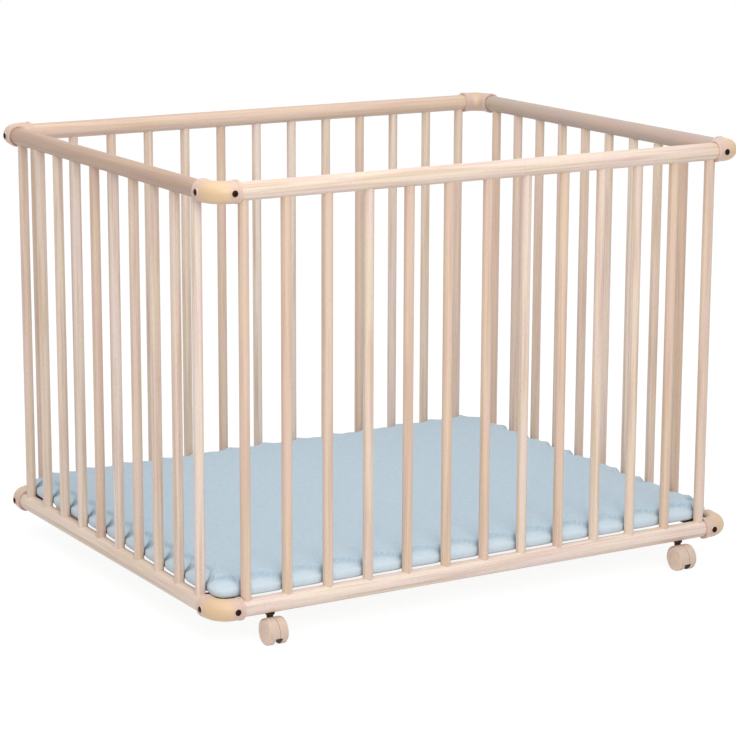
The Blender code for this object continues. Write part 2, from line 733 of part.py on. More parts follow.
def floor_bracket():
    """A moulded shelf for a corner of the floor panel, with a lip that hugs each bottom rail."""
    reach, shoulder, chamfer = BRACKET_REACH, BRACKET_SHOULDER, BRACKET_CHAMFER
    outline = [
        (shoulder, shoulder),
        (reach, shoulder),
        (reach, reach - chamfer),
        (reach - chamfer, reach),
        (shoulder, reach),
    ]
    shelf_z = BRACKET_Z - BOTTOM_RAIL_Z
    shelf = moved(
        extruded("floor_bracket", outline, BRACKET_THICKNESS),
        Matrix.Translation((0, 0, shelf_z + BRACKET_THICKNESS / 2)),
    )
    lip = box(
        "lip",
        (CONNECTOR_LEG + 2 * GAP, shoulder, shelf_z + BRACKET_THICKNESS / 2 - LIP_DROP),
        (reach, RAIL_RADIUS + LIP_THICKNESS, shelf_z + BRACKET_THICKNESS / 2),
    )
    rail_room = cylinder("rail_room", (0, 0, 0), (2 * reach, 0, 0), RAIL_RADIUS + GAP, RAIL_SIDES)
    rim_start, rim_end = CONNECTOR_LEG - RIM_LENGTH - GAP, CONNECTOR_LEG + GAP
    rim_room = cylinder(
        "rim_room", (rim_start, 0, 0), (rim_end, 0, 0), RIM_RADIUS + GAP, RAIL_SIDES
    )
    elbow_room = tube("elbow_room", elbow_line(), CONNECTOR_RADIUS + GAP, RAIL_SIDES)
    bracket = join(shelf, *both_legs(lip))
    return cut(bracket, *both_legs(rail_room), *both_legs(rim_room), elbow_room)


def build_floor():
    bracket = floor_bracket()
    for corner, sx, sy, turn in CORNERS:
        where = upright(turn, (sx * LENGTH / 2, sy * WIDTH / 2, BOTTOM_RAIL_Z))
        place(bracket, f"floor_bracket_{corner}", BRACKET_PLASTIC, where)
    bpy.data.objects.remove(bracket, do_unlink=True)

    inset = 2 * PANEL_INSET
    outline = rounded_rectangle(LENGTH - inset, WIDTH - inset, PANEL_CORNER, BEND_STEPS)
    panel = extruded("panel", outline, PANEL_THICKNESS)
    where = Matrix.Translation((0, 0, PANEL_Z + PANEL_THICKNESS / 2))
    place_once(panel, "floor_panel", PANEL_BOARD, where)

    inset = 2 * (BAR_RADIUS + GAP)
    outline = rounded_rectangle(LENGTH - inset, WIDTH - inset, MAT_CORNER, BEND_STEPS)
    mat = extruded("mat", outline, MAT_THICKNESS)
    edge = mat.modifiers.new("soft_edge", "BEVEL")
    edge.width = MAT_EDGE
    edge.segments = MAT_EDGE_STEPS
    edge.limit_method = "ANGLE"
    edge.angle_limit = MAT_EDGE_ANGLE
    where = Matrix.Translation((0, 0, MAT_Z + MAT_THICKNESS / 2))
    place_once(baked(mat), "play_mat", MAT_FABRIC, where)


# ---- The pen -----------------------------------------------------------------------------------------

clear_scene()
PEN = new_collection("playpen")
CUTTERS = new_collection("cutters")

BEECH = new_material("lacquered_beech", "E4CDBB", 0.45)
CONNECTOR_PLASTIC = new_material("connector_nylon", "EED4AA", 0.40)
BOLT_STEEL = new_material("browned_steel", "2A1A10", 0.35, 0.8)
CASTOR_PLASTIC = new_material("castor_nylon", "E2CBBB", 0.45)
CASTOR_STEEL = new_material("castor_steel", "4A3628", 0.40, 0.7)
BRACKET_PLASTIC = new_material("bracket_nylon", "4A382A", 0.50)
PANEL_BOARD = new_material("floor_board", "D9C8B0", 0.60)
MAT_FABRIC = new_material("mat_cotton", "BCD2DE", 0.85)

build_sides()
build_connectors()
build_castors()
build_floor()
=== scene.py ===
# %% [markdown]
# # A beech playpen
# The pen is a basket of round beech bars on four twin-wheel castors. Moulded elbows join its rails, and a
# padded mat lies on a panel inside it. The CAD model fixes every size and every joint. This lesson dresses
# it: each cell makes one kind of piece or one finish, and puts it where the CAD piece is.

# %% Load the fixed frame
import math
import random

import bmesh
import bpy
import numpy as np
from mathutils import Matrix, Vector


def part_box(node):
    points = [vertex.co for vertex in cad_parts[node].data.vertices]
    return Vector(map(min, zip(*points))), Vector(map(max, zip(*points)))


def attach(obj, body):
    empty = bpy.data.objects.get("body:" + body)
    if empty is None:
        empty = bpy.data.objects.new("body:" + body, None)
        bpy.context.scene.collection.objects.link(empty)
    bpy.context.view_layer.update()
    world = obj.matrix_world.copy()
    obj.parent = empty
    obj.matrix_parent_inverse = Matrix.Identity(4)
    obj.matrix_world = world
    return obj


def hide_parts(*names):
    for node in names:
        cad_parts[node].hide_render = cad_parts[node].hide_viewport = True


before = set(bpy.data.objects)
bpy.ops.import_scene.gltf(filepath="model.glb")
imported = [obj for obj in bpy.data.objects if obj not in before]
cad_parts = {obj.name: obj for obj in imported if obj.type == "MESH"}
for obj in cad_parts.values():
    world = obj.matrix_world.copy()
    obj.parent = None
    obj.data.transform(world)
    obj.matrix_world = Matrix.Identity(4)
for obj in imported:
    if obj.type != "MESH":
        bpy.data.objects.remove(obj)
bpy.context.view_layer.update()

# %% [markdown]
# ## Places read from the frame
# A refined piece must sit exactly where its CAD piece sits. So every place is read from the boxes of the
# CAD pieces: the heights of the rails, their centrelines, the bars. Sizes that a box can't tell, such as
# the wall of a moulding, are written beside the piece that needs them.

# %% Rails, corners and bars
MM = 0.001
QUARTER = math.pi / 2
GAP = 0.3 * MM  # between pieces that touch


def middle(node):
    low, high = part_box(node)
    return (low + high) / 2


low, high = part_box("front_top_rail")
RAIL_RADIUS = (high.z - low.z) / 2
LONG_RAIL_END, LONG_RAIL_Y = high.x, -middle("front_top_rail").y
SHORT_RAIL_END, SHORT_RAIL_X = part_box("right_top_rail")[1].y, middle("right_top_rail").x
TOP_RAIL_Z = middle("front_top_rail").z
BOTTOM_RAIL_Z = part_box("front_bottom_rail_with_bars")[0].z + RAIL_RADIUS
BAR_TOP_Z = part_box("front_bottom_rail_with_bars")[1].z

# A corner's name, its signs along X and Y, and the turn that brings legs on +X and +Y to it.
CORNERS = (
    ("front_left", -1, -1, 0.0),
    ("front_right", 1, -1, QUARTER),
    ("back_right", 1, 1, math.pi),
    ("back_left", -1, 1, -QUARTER),
)


def bar_places(node, axis):
    """The middles of a side's bars along an axis, found from the tops of the CAD bars."""
    tops = [v.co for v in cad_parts[node].data.vertices if v.co.z > BAR_TOP_Z - MM]
    spots = sorted({round(co[axis], 5) for co in tops})
    groups = [[spots[0]]]
    for spot in spots[1:]:
        if spot - groups[-1][-1] > 20 * MM:
            groups.append([])
        groups[-1].append(spot)
    return [(group[0] + group[-1]) / 2 for group in groups]


LONG_SIDE_BARS = bar_places("front_bottom_rail_with_bars", 0)
SHORT_SIDE_BARS = bar_places("left_bottom_rail_with_bars", 1)
print(len(LONG_SIDE_BARS), "bars on a long side,", len(SHORT_SIDE_BARS), "on a short side")

# %% [markdown]
# ## Small helpers
# A colour is written as the hex value that a paint chart would give, and one function turns it to the
# linear numbers that a shader needs. One function adds a node of any kind, with its settings and its links.

# %% Colours and nodes
def linear(hex_colour):
    """An sRGB hex colour such as E2CBBA as linear RGBA."""
    channels = [int(hex_colour[i : i + 2], 16) / 255 for i in (0, 2, 4)]
    return [c / 12.92 if c <= 0.04045 else ((c + 0.055) / 1.055) ** 2.4 for c in channels] + [1.0]


def add(tree, kind, inputs=None, **settings):
    """Adds a node. Each input is a plain value, or the output socket that feeds it."""
    node = tree.nodes.new(kind)
    for name, value in settings.items():
        setattr(node, name, value)
    for key, value in (inputs or {}).items():
        if isinstance(value, bpy.types.NodeSocket):
            tree.links.new(value, node.inputs[key])
        else:
            node.inputs[key].default_value = value
    return node


def new_material(name, roughness, metallic=0.0, **constants):
    """A material with one Principled shader. Constants go straight on the shader's own sockets."""
    material = bpy.data.materials.new(name)
    material.use_nodes = True
    shader = material.node_tree.nodes["Principled BSDF"]
    shader.inputs["Roughness"].default_value = roughness
    shader.inputs["Metallic"].default_value = metallic
    for socket, value in constants.items():
        shader.inputs[socket.replace("_", " ")].default_value = value
    return material, material.node_tree, shader


def coloured(node, *stops):
    """Sets the stops of a colour ramp, given as (place, hex colour), and hands back its colour."""
    while len(node.color_ramp.elements) < len(stops):
        node.color_ramp.elements.new(0.5)
    for element, (place, colour) in zip(node.color_ramp.elements, stops):
        element.position = place
        element.color = linear(colour)
    return node.outputs["Color"]

# %% [markdown]
# Most pieces here are round, so two functions do most of the modelling. `lofted` joins a row of rings with
# quads and closes the ends. `turned` makes the rings from a profile, as a lathe does.

# %% Lofted and turned shapes
SMOOTH_BELOW = math.radians(35)  # an edge that bends more than this stays sharp
SAME_POINT = 0.002 * MM  # points closer than this are merged


def mesh_of(work, name):
    """A finished mesh from a bmesh: its doubles are merged and its faces point outwards."""
    bmesh.ops.remove_doubles(work, verts=work.verts, dist=SAME_POINT)
    bmesh.ops.recalc_face_normals(work, faces=work.faces)
    mesh = bpy.data.meshes.new(name)
    work.to_mesh(mesh)
    work.free()
    mesh.validate()
    mesh.shade_smooth()
    mesh.set_sharp_from_angle(angle=SMOOTH_BELOW)
    return mesh


def lofted(name, rings):
    """A closed solid through a row of rings that have the same number of points."""
    work = bmesh.new()
    rows = [[work.verts.new(place) for place in ring] for ring in rings]
    for row, following in zip(rows, rows[1:]):
        for i in range(len(row)):
            j = (i + 1) % len(row)
            work.faces.new((row[i], row[j], following[j], following[i]))
    for row in (rows[0], rows[-1]):
        work.faces.new(row)
    return mesh_of(work, name)


def polar(radius, angle, height):
    """A point given by its distance from the Z axis, its angle round it and its height."""
    return (radius * math.cos(angle), radius * math.sin(angle), height)


def spread(first, span, steps):
    """Evenly spaced numbers over a span that starts at the first, both ends included."""
    return [first + span * i / steps for i in range(steps + 1)]


def turned(name, profile, sides):
    """A solid of revolution about Z from (radius, height) points. Its first and last radius are small."""
    angles = [2 * math.pi * i / sides for i in range(sides)]
    return lofted(name, [[polar(r, a, z) for a in angles] for r, z in profile])


def rounded(before, corner, after, radius, steps=4):
    """Points that round a profile's corner between its two neighbours."""
    corner = Vector(corner)
    into, out = (Vector(before) - corner).normalized(), (Vector(after) - corner).normalized()
    half = into.angle(out) / 2
    centre = corner + (into + out).normalized() * (radius / math.sin(half))
    start, end = (corner + arm * (radius / math.tan(half)) - centre for arm in (into, out))
    first = math.atan2(start.y, start.x)
    sweep = (math.atan2(end.y, end.x) - first + math.pi) % (2 * math.pi) - math.pi
    angles = spread(first, sweep, steps)
    return [(centre.x + radius * math.cos(a), centre.y + radius * math.sin(a)) for a in angles]


def eased(profile, radii, steps=4):
    """A profile with some of its corners rounded, by radii in mm. A radius of zero keeps the corner."""
    points = [tuple(profile[0])]
    for i in range(1, len(profile) - 1):
        if radii[i] > 0:
            points += rounded(profile[i - 1], profile[i], profile[i + 1], radii[i] * MM, steps)
        else:
            points.append(tuple(profile[i]))
    return points + [tuple(profile[-1])]

# %% [markdown]
# A boolean joins two closed shapes or cuts one from another. It is run as a modifier on a passing object,
# and only the mesh that comes out is kept.

# %% Joined and cut shapes
def combined(mesh, others, operation):
    """The mesh joined with the others ("UNION") or cut by them ("DIFFERENCE")."""
    base = bpy.data.objects.new("base", mesh)
    bpy.context.scene.collection.objects.link(base)
    helpers = []
    for other in others:
        helper = bpy.data.objects.new("helper", other)
        bpy.context.scene.collection.objects.link(helper)
        helpers.append(helper)
        step = base.modifiers.new("step", "BOOLEAN")
        step.operation, step.solver, step.object = operation, "EXACT", helper
    bpy.context.view_layer.update()
    made = bpy.data.meshes.new_from_object(base.evaluated_get(bpy.context.evaluated_depsgraph_get()))
    for used in (base, *helpers):
        bpy.data.objects.remove(used, do_unlink=True)
    work = bmesh.new()
    work.from_mesh(made)
    return mesh_of(work, mesh.name)

# %% [markdown]
# A finished piece keeps its place in its mesh, so its object stays at the origin. It rides on a CAD body,
# takes the place of one or more CAD pieces, and gets its material.

# %% Putting a piece in
def put(mesh, name, body, nodes, material=None, matrix=None):
    """Adds a finished piece to the scene: on its body, in place of its CAD nodes, with its material."""
    if matrix is not None:
        mesh.transform(matrix)
    piece = bpy.data.objects.new(name, mesh)
    bpy.context.scene.collection.objects.link(piece)
    if material is not None:
        mesh.materials.clear()
        mesh.materials.append(material)
    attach(piece, body)
    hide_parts(*nodes)
    return piece


def upright(turn, place):
    """A placement: turned about Z, then moved."""
    return Matrix.Translation(place) @ Matrix.Rotation(turn, 4, "Z")

# %% [markdown]
# ## Beech
# The sticks are steamed beech, turned round and given a thin clear lacquer. Beech is pale and even. What
# the eye finds in it is a different tone from stick to stick, soft streaks along the length, faint growth
# rings, and short dark flecks, the ends of its rays. A stick carries its own frame in an attribute,
# `grain`, with Z along the wood, so that the pattern runs with every stick, whichever way it lies.

# %% Beech material
BEECH, tree, shader = new_material(
    "beech_turned_and_lacquered", 0.5, Coat_Weight=0.35, Coat_Roughness=0.32, IOR=1.5
)
grain = add(tree, "ShaderNodeAttribute", attribute_name="grain").outputs["Vector"]
stick = add(tree, "ShaderNodeAttribute", attribute_name="stick").outputs["Fac"]
# Each stick is cut from another place of the plank, so each looks up another place of the pattern.
shift = add(tree, "ShaderNodeVectorMath", {0: stick, 1: (0.9, 1.7, 40.0)}, operation="MULTIPLY")
place = add(tree, "ShaderNodeVectorMath", {0: grain, 1: shift.outputs[0]}).outputs[0]
# Broad streaks, about 5 mm wide and 200 mm long.
streak_place = add(tree, "ShaderNodeVectorMath", {0: place, 1: (200, 200, 5)}, operation="MULTIPLY")
streaks = add(tree, "ShaderNodeTexNoise", {"Vector": streak_place.outputs[0], "Scale": 1.0, "Detail": 2.0})
# Growth rings stand 3 mm apart round a heart that lies outside the stick.
ring_place = add(tree, "ShaderNodeVectorMath", {0: place, 1: (1.0, 1.0, 0.012)}, operation="MULTIPLY")
rings = add(
    tree,
    "ShaderNodeTexWave",
    {
        "Vector": ring_place.outputs[0],
        "Scale": 105.0,
        "Distortion": 1.6,
        "Detail": 1.0,
        "Detail Scale": 0.6,
    },
    wave_type="RINGS",
    rings_direction="Z",
)
# Real flecks are 0.4 mm wide and 2 mm long. They are drawn about three times as large, to show at all.
fleck_place = add(tree, "ShaderNodeVectorMath", {0: place, 1: (760, 760, 120)}, operation="MULTIPLY")
fleck_cells = {"Vector": fleck_place.outputs[0], "Scale": 1.0, "Randomness": 1.0}
flecks = add(tree, "ShaderNodeTexVoronoi", fleck_cells)
fleck = add(
    tree, "ShaderNodeMapRange", {0: flecks.outputs["Distance"], 1: 0.10, 2: 0.34, 3: 0.30, 4: 0.0}
)
print("beech: streaks, rings and flecks from", len(tree.nodes), "nodes")

# %% [markdown]
# The colours are laid over each other as they lie in the wood: the stick's own tone first, then the
# streaks, the drift from pinkish to straw, the rings, and the flecks on top. The pores only show in the way
# the lacquer shines, so they are a faint bump.

# %% Beech colours
# From a dark brown, which only the left and right hand rails have, to nearly white sapwood. The dark tones of
# those two rails are partly their own wood and partly painted shade on the shaded sides.
STICK_TONES = (
    (0.0, "BB9A84"),
    (0.1, "BEACA2"),
    (0.25, "EAD0B8"),
    (0.5, "E8CFBC"),
    (0.75, "F0DDCA"),
    (1.0, "F6E6DB"),
)
tone = coloured(add(tree, "ShaderNodeValToRGB", {"Fac": stick}), *STICK_TONES)
streak_share = add(tree, "ShaderNodeMapRange", {0: streaks.outputs["Fac"], 1: 0.45, 2: 0.72, 3: 0.0, 4: 0.7})
streak_mix = {0: streak_share.outputs[0], 6: tone, 7: linear("CFB098")}
streaked = add(tree, "ShaderNodeMix", streak_mix, data_type="RGBA")
# The wood goes from pinkish to straw over a hand's breadth.
hue_place = add(tree, "ShaderNodeVectorMath", {0: place, 1: (90, 90, 9)}, operation="MULTIPLY")
hues = add(tree, "ShaderNodeTexNoise", {"Vector": hue_place.outputs[0], "Scale": 1.0, "Detail": 1.0})
hue_ramp = add(tree, "ShaderNodeValToRGB", {"Fac": hues.outputs["Fac"]})
hue_mix = {0: 0.8, 6: streaked.outputs[2], 7: coloured(hue_ramp, (0.36, "FBF4FA"), (0.64, "FBFBF2"))}
hued = add(tree, "ShaderNodeMix", hue_mix, data_type="RGBA", blend_type="MULTIPLY")
ringed_share = add(tree, "ShaderNodeMath", {0: rings.outputs["Fac"], 1: 0.20}, operation="MULTIPLY")
ring_mix = {0: ringed_share.outputs[0], 6: hued.outputs[2], 7: linear("CDA98C")}
ringed = add(tree, "ShaderNodeMix", ring_mix, data_type="RGBA")
fleck_mix = {0: fleck.outputs[0], 6: ringed.outputs[2], 7: linear("B98E70")}
flecked = add(tree, "ShaderNodeMix", fleck_mix, data_type="RGBA")
tree.links.new(flecked.outputs[2], shader.inputs["Base Color"])
pores = add(tree, "ShaderNodeTexNoise", {"Vector": fleck_place.outputs[0], "Scale": 2.2, "Detail": 2.0})
bump = add(tree, "ShaderNodeBump", {"Height": pores.outputs["Fac"], "Strength": 0.25, "Distance": 0.1 * MM})
tree.links.new(bump.outputs[0], shader.inputs["Normal"])
print("beech:", len(tree.nodes), "nodes in all")

# %% [markdown]
# ## Rails and bars
# A side of the pen is a row: the same bar again and again between two rails. A row is what Geometry Nodes
# are for. One tree makes a rail from its length and thickness, sets the bars on a line of points, and
# either joins them (a bottom rail, with its bars glued in) or cuts a hole for each (a hand rail, pushed on
# from above). It also drills the holes for the corner bolts and the castors' plugs.

# %% Parts of a tree
def new_tree(name, **inputs):
    """A Geometry Nodes tree with these named inputs, and the sockets that give their values."""
    tree = bpy.data.node_groups.new(name, "GeometryNodeTree")
    tree.is_modifier = True
    for label, kind in {"Geometry": "Geometry", **inputs}.items():
        socket_name, socket_type = label.replace("_", " "), f"NodeSocket{kind}"
        tree.interface.new_socket(name=socket_name, in_out="INPUT", socket_type=socket_type)
    tree.interface.new_socket(name="Geometry", in_out="OUTPUT", socket_type="NodeSocketGeometry")
    return tree, add(tree, "NodeGroupInput").outputs


def end_tree(tree, geometry, material):
    """Makes everything real, gives it its material and hands it out."""
    whole = add(tree, "GeometryNodeRealizeInstances", {"Geometry": geometry})
    finish = {"Geometry": whole.outputs[0], "Material": material}
    finished = add(tree, "GeometryNodeSetMaterial", finish)
    add(tree, "NodeGroupOutput", {0: finished.outputs[0]})
    print(tree.name, "has", len(tree.nodes), "nodes")


def round_rod(tree, radius, length, sides, rings=1, turn=(0, 0, 0), place=(0, 0, 0)):
    """A rod about Z with rings of points along it, turned and then moved."""
    shape = {"Vertices": sides, "Side Segments": rings, "Radius": radius, "Depth": length}
    rod = add(tree, "GeometryNodeMeshCylinder", shape)
    moves = {"Geometry": rod.outputs["Mesh"], "Rotation": turn, "Translation": place}
    return add(tree, "GeometryNodeTransform", moves).outputs[0]


def on_row(tree, rod, count, first):
    """The rod at each of a row of points from -first to +first along X."""
    opposite = add(tree, "ShaderNodeMath", {0: first, 1: -1.0}, operation="MULTIPLY")
    start = add(tree, "ShaderNodeCombineXYZ", {"X": opposite.outputs[0]})
    end = add(tree, "ShaderNodeCombineXYZ", {"X": first})
    ends = {"Count": count, "Start Location": start.outputs[0], "Offset": end.outputs[0]}
    row = add(tree, "GeometryNodeMeshLine", ends, mode="END_POINTS")
    rods = add(tree, "GeometryNodeInstanceOnPoints", {"Points": row.outputs[0], "Instance": rod})
    return add(tree, "GeometryNodeRealizeInstances", {"Geometry": rods.outputs[0]}).outputs[0]

# %% [markdown]
# Every size is an input with a name, so the same tree serves long and short sides, hand rails and bottom
# rails. Bars, drills and plugs are all round rods on a row of points. A switch picks what the bars do: they
# pierce a hand rail, or join a bottom rail.

# %% The tree that makes a side
DRILL_LENGTH = 40 * MM  # longer than any hole is deep
SIDE_TREE, sizes = new_tree(
    "side_of_sticks",
    Hand_Rail="Bool",
    Rail_Length="Float",
    Rail_Radius="Float",
    Rail_Rings="Int",
    Bar_Count="Int",
    First_Bar="Float",
    Bar_Radius="Float",
    Bar_Foot="Float",
    Bar_Head="Float",
    Drill_Place="Float",
    Drill_Depth="Float",
    Drill_Radius="Float",
    Plug_Place="Float",
    Plug_Depth="Float",
    Plug_Radius="Float",
    Finish="Material",
)
g = SIDE_TREE
rail_length, rail_rings = sizes["Rail Length"], sizes["Rail Rings"]
rail = round_rod(g, sizes["Rail Radius"], rail_length, 48, rail_rings, turn=(0, QUARTER, 0))
bar_length = add(g, "ShaderNodeMath", {0: sizes["Bar Head"], 1: sizes["Bar Foot"]}, operation="SUBTRACT")
bar_ends = add(g, "ShaderNodeMath", {0: sizes["Bar Head"], 1: sizes["Bar Foot"]})
bar_middle = add(g, "ShaderNodeMath", {0: bar_ends.outputs[0], 1: 0.5}, operation="MULTIPLY")
bar_place = add(g, "ShaderNodeCombineXYZ", {"Z": bar_middle.outputs[0]})
bar = round_rod(g, sizes["Bar Radius"], bar_length.outputs[0], 32, 16, place=bar_place.outputs[0])
bars = on_row(g, bar, sizes["Bar Count"], sizes["First Bar"])
drill_y = add(g, "ShaderNodeMath", {0: -DRILL_LENGTH / 2, 1: sizes["Drill Depth"]}, operation="SUBTRACT")
drill_at = add(g, "ShaderNodeCombineXYZ", {"Y": drill_y.outputs[0]}).outputs[0]
drill = round_rod(g, sizes["Drill Radius"], DRILL_LENGTH, 16, turn=(QUARTER, 0, 0), place=drill_at)
drills = on_row(g, drill, 2, sizes["Drill Place"])
plug_middle = add(g, "ShaderNodeMath", {0: sizes["Plug Depth"], 1: -DRILL_LENGTH / 2})
plug_at = add(g, "ShaderNodeCombineXYZ", {"Z": plug_middle.outputs[0]}).outputs[0]
plug = round_rod(g, sizes["Plug Radius"], DRILL_LENGTH, 24, place=plug_at)
plugs = on_row(g, plug, 2, sizes["Plug Place"])

glued = add(g, "GeometryNodeMeshBoolean", operation="UNION", solver="EXACT")
for part in (rail, bars):
    g.links.new(part, glued.inputs[1])
pierced = add(g, "GeometryNodeMeshBoolean", {0: rail}, operation="DIFFERENCE", solver="EXACT")
g.links.new(bars, pierced.inputs[1])
kinds = {"Switch": sizes["Hand Rail"], "False": glued.outputs[0], "True": pierced.outputs[0]}
side = add(g, "GeometryNodeSwitch", kinds, input_type="GEOMETRY")
drilled = add(g, "GeometryNodeMeshBoolean", {0: side.outputs[0]}, operation="DIFFERENCE", solver="EXACT")
for part in (drills, plugs):
    g.links.new(part, drilled.inputs[1])
end_tree(g, drilled.outputs[0], sizes["Finish"])

# %% [markdown]
# A modifier's input is set by its socket's identifier, before the tree first runs. The result becomes a
# plain mesh, and the modifier goes.

# %% Run a tree once
def grown(tree, name, **values):
    """The mesh that a Geometry Nodes tree makes from these values."""
    inputs = [item for item in tree.interface.items_tree if item.in_out == "INPUT"]
    identifiers = {item.name: item.identifier for item in inputs}
    host = bpy.data.objects.new(name, bpy.data.meshes.new(name))
    bpy.context.scene.collection.objects.link(host)
    modifier = host.modifiers.new(name, "NODES")
    modifier.node_group = tree
    for key, value in values.items():
        modifier[identifiers[key.replace("_", " ")]] = value
    bpy.context.view_layer.update()
    mesh = bpy.data.meshes.new_from_object(host.evaluated_get(bpy.context.evaluated_depsgraph_get()))
    host.modifiers.remove(modifier)
    bpy.data.objects.remove(host, do_unlink=True)
    return mesh

# %% [markdown]
# An attribute is a number that each point, face or face corner of a mesh carries. The finishes read them,
# to know where wood grain runs, where a sleeve is thin or where cloth is folded. NumPy fills them in one
# go.

# %% Attributes
def fill(mesh, name, kind, domain, values):
    """Writes an attribute of a mesh from an array."""
    key = "vector" if kind == "FLOAT_VECTOR" else "value"
    attribute = mesh.attributes.new(name, kind, domain)
    attribute.data.foreach_set(key, np.ascontiguousarray(values, np.float32).ravel())


def point_places(mesh):
    """The points of a mesh as an array."""
    places = np.empty((len(mesh.vertices), 3), np.float32)
    mesh.vertices.foreach_get("co", places.ravel())
    return places


def corner_places(mesh):
    """The place of each corner of each face."""
    corners = np.empty(len(mesh.loops), np.int32)
    mesh.loops.foreach_get("vertex_index", corners)
    return point_places(mesh)[corners]


def faces_of(mesh):
    """The middles and the normals of a mesh's faces, as two arrays."""
    middles, normals = np.empty((2, len(mesh.polygons), 3), np.float32)
    mesh.polygons.foreach_get("center", middles.ravel())
    mesh.polygons.foreach_get("normal", normals.ravel())
    return middles, normals

# %% [markdown]
# Each face then learns which stick it belongs to. A face that stands upright and lies outside the rail is a
# bar's; the others are the rail's. Its corners get their place in the stick's own frame.

# %% Grain for every stick
def add_grain(mesh, bars, seed, rail_tone):
    """Gives a side modelled along X, its rail on the X axis, the attributes `grain` and `stick`."""
    draw = random.Random(seed)
    tones = np.array([rail_tone] + [draw.uniform(0.22, 1.0) for _ in bars])
    turns = np.array([draw.uniform(0, 2 * math.pi) for _ in tones])
    middles, normals = faces_of(mesh)
    upright_face = np.abs(normals[:, 2]) < 0.02
    outside_rail = np.hypot(middles[:, 1], middles[:, 2]) > RAIL_RADIUS * 1.002
    nearest = 1 + np.abs(middles[:, :1] - np.array(bars)).argmin(axis=1)
    corners_each = np.empty(len(mesh.polygons), np.int32)
    mesh.polygons.foreach_get("loop_total", corners_each)
    number = np.repeat(np.where(upright_face & outside_rail, nearest, 0), corners_each)
    x, y, z = corner_places(mesh).T
    a = np.where(number > 0, x - np.array([0.0, *bars])[number], y)
    b = np.where(number > 0, y, z)
    along = np.where(number > 0, z, x)
    cos, sin = np.cos(turns[number]), np.sin(turns[number])
    grain = np.stack([a * cos - b * sin, a * sin + b * cos, along], 1)
    fill(mesh, "grain", "FLOAT_VECTOR", "CORNER", grain)
    fill(mesh, "stick", "FLOAT", "CORNER", tones[number])

# %% [markdown]
# The four sides differ only in place, length and bars, so they stand in a table and one function builds
# them. The long sides also have the plug holes of the castors, on the underside of the bottom rails.

# %% The eight rails with their bars
SOCKET_DEPTH = 12 * MM  # of a bar in the hand rail
RING_PITCH = 9 * MM  # between the rings of points along a rail
BAR_RADIUS = 8 * MM
BOLT_PLACE = SHORT_RAIL_X - LONG_RAIL_END + 6.7 * MM  # from the corner, along a rail
BOLT_SEAT = 16.3 * MM  # from the rail's centreline
SHANK_RADIUS, SHANK_LENGTH = 2.5 * MM, 11.5 * MM
PLUG_RADIUS, PLUG_LENGTH = 4 * MM, 18 * MM
CASTOR_X = middle("castor_stem_front_right").x
CASTOR_HEIGHT = BOTTOM_RAIL_Z - RAIL_RADIUS

# What a long side and a short side have: where its rails end, where the corner is, its bars and its plugs.
LONG = (LONG_RAIL_END, SHORT_RAIL_X, LONG_SIDE_BARS, CASTOR_X)
SHORT = (SHORT_RAIL_END, LONG_RAIL_Y, SHORT_SIDE_BARS, None)
# The last two numbers are the tones of the hand rail and the bottom rail, from 0 (brown) to 1 (pale). They
# are partly painted light: dark for painted shade on the left and right hand rails, pale for painted light on
# the front bottom rail.
SIDES = (
    ("front", (0, -LONG_RAIL_Y), 0.0, LONG, 0.86, 0.97),
    ("back", (0, LONG_RAIL_Y), math.pi, LONG, 0.42, 0.5),
    ("left", (-SHORT_RAIL_X, 0), -QUARTER, SHORT, 0.0, 0.8),
    ("right", (SHORT_RAIL_X, 0), QUARTER, SHORT, 0.11, 0.4),
)


def build_rail(side, hand_rail, seed):
    """One rail of a side: the hand rail with its sockets, or the bottom rail with its bars."""
    name, (x, y), turn, (end, corner, bars, plug_place), top_tone, bottom_tone = side
    plugged = plug_place and not hand_rail
    mesh = grown(
        SIDE_TREE,
        f"{name}_rail",
        Hand_Rail=hand_rail,
        Rail_Length=2 * end,
        Rail_Radius=RAIL_RADIUS,
        Rail_Rings=round(2 * end / RING_PITCH),
        Bar_Count=len(bars),
        First_Bar=bars[-1],
        Bar_Radius=BAR_RADIUS + (GAP if hand_rail else 0.0),
        Bar_Foot=-2 * RAIL_RADIUS if hand_rail else 0.0,
        Bar_Head=SOCKET_DEPTH - RAIL_RADIUS if hand_rail else BAR_TOP_Z - BOTTOM_RAIL_Z,
        Drill_Place=corner - BOLT_PLACE,
        Drill_Depth=BOLT_SEAT - SHANK_LENGTH - GAP,
        Drill_Radius=SHANK_RADIUS + GAP,
        Plug_Place=plug_place or 2 * end,
        Plug_Depth=PLUG_LENGTH + GAP - RAIL_RADIUS if plugged else -3 * RAIL_RADIUS,
        Plug_Radius=PLUG_RADIUS + GAP,
        Finish=BEECH,
    )
    work = bmesh.new()
    work.from_mesh(mesh)
    mesh = mesh_of(work, mesh.name)
    add_grain(mesh, bars, seed, top_tone if hand_rail else bottom_tone)
    node = f"{name}_top_rail" if hand_rail else f"{name}_bottom_rail_with_bars"
    matrix = upright(turn, (x, y, TOP_RAIL_Z if hand_rail else BOTTOM_RAIL_Z))
    return put(mesh, f"{node}_turned", "pen", [node], BEECH, matrix)


for seed, side in enumerate(SIDES):
    for hand_rail in (True, False):
        piece = build_rail(side, hand_rail, 31 + 2 * seed + hand_rail)
        print(piece.name, len(piece.data.polygons), "faces")

# %% [markdown]
# ## Corner elbows
# Each corner is a moulded nylon elbow with a socket for each rail. It is solid in the bend and thin round
# the sockets, with a thicker rim at each mouth and a round boss for each bolt. It is one loft: the rings
# start at the floor of one socket, run out to its mouth, turn over the rim, follow the bend and mirror
# themselves. Each edge gets a small radius, as a mould leaves it. The bosses are joined to the loft, and
# the seats cut out.

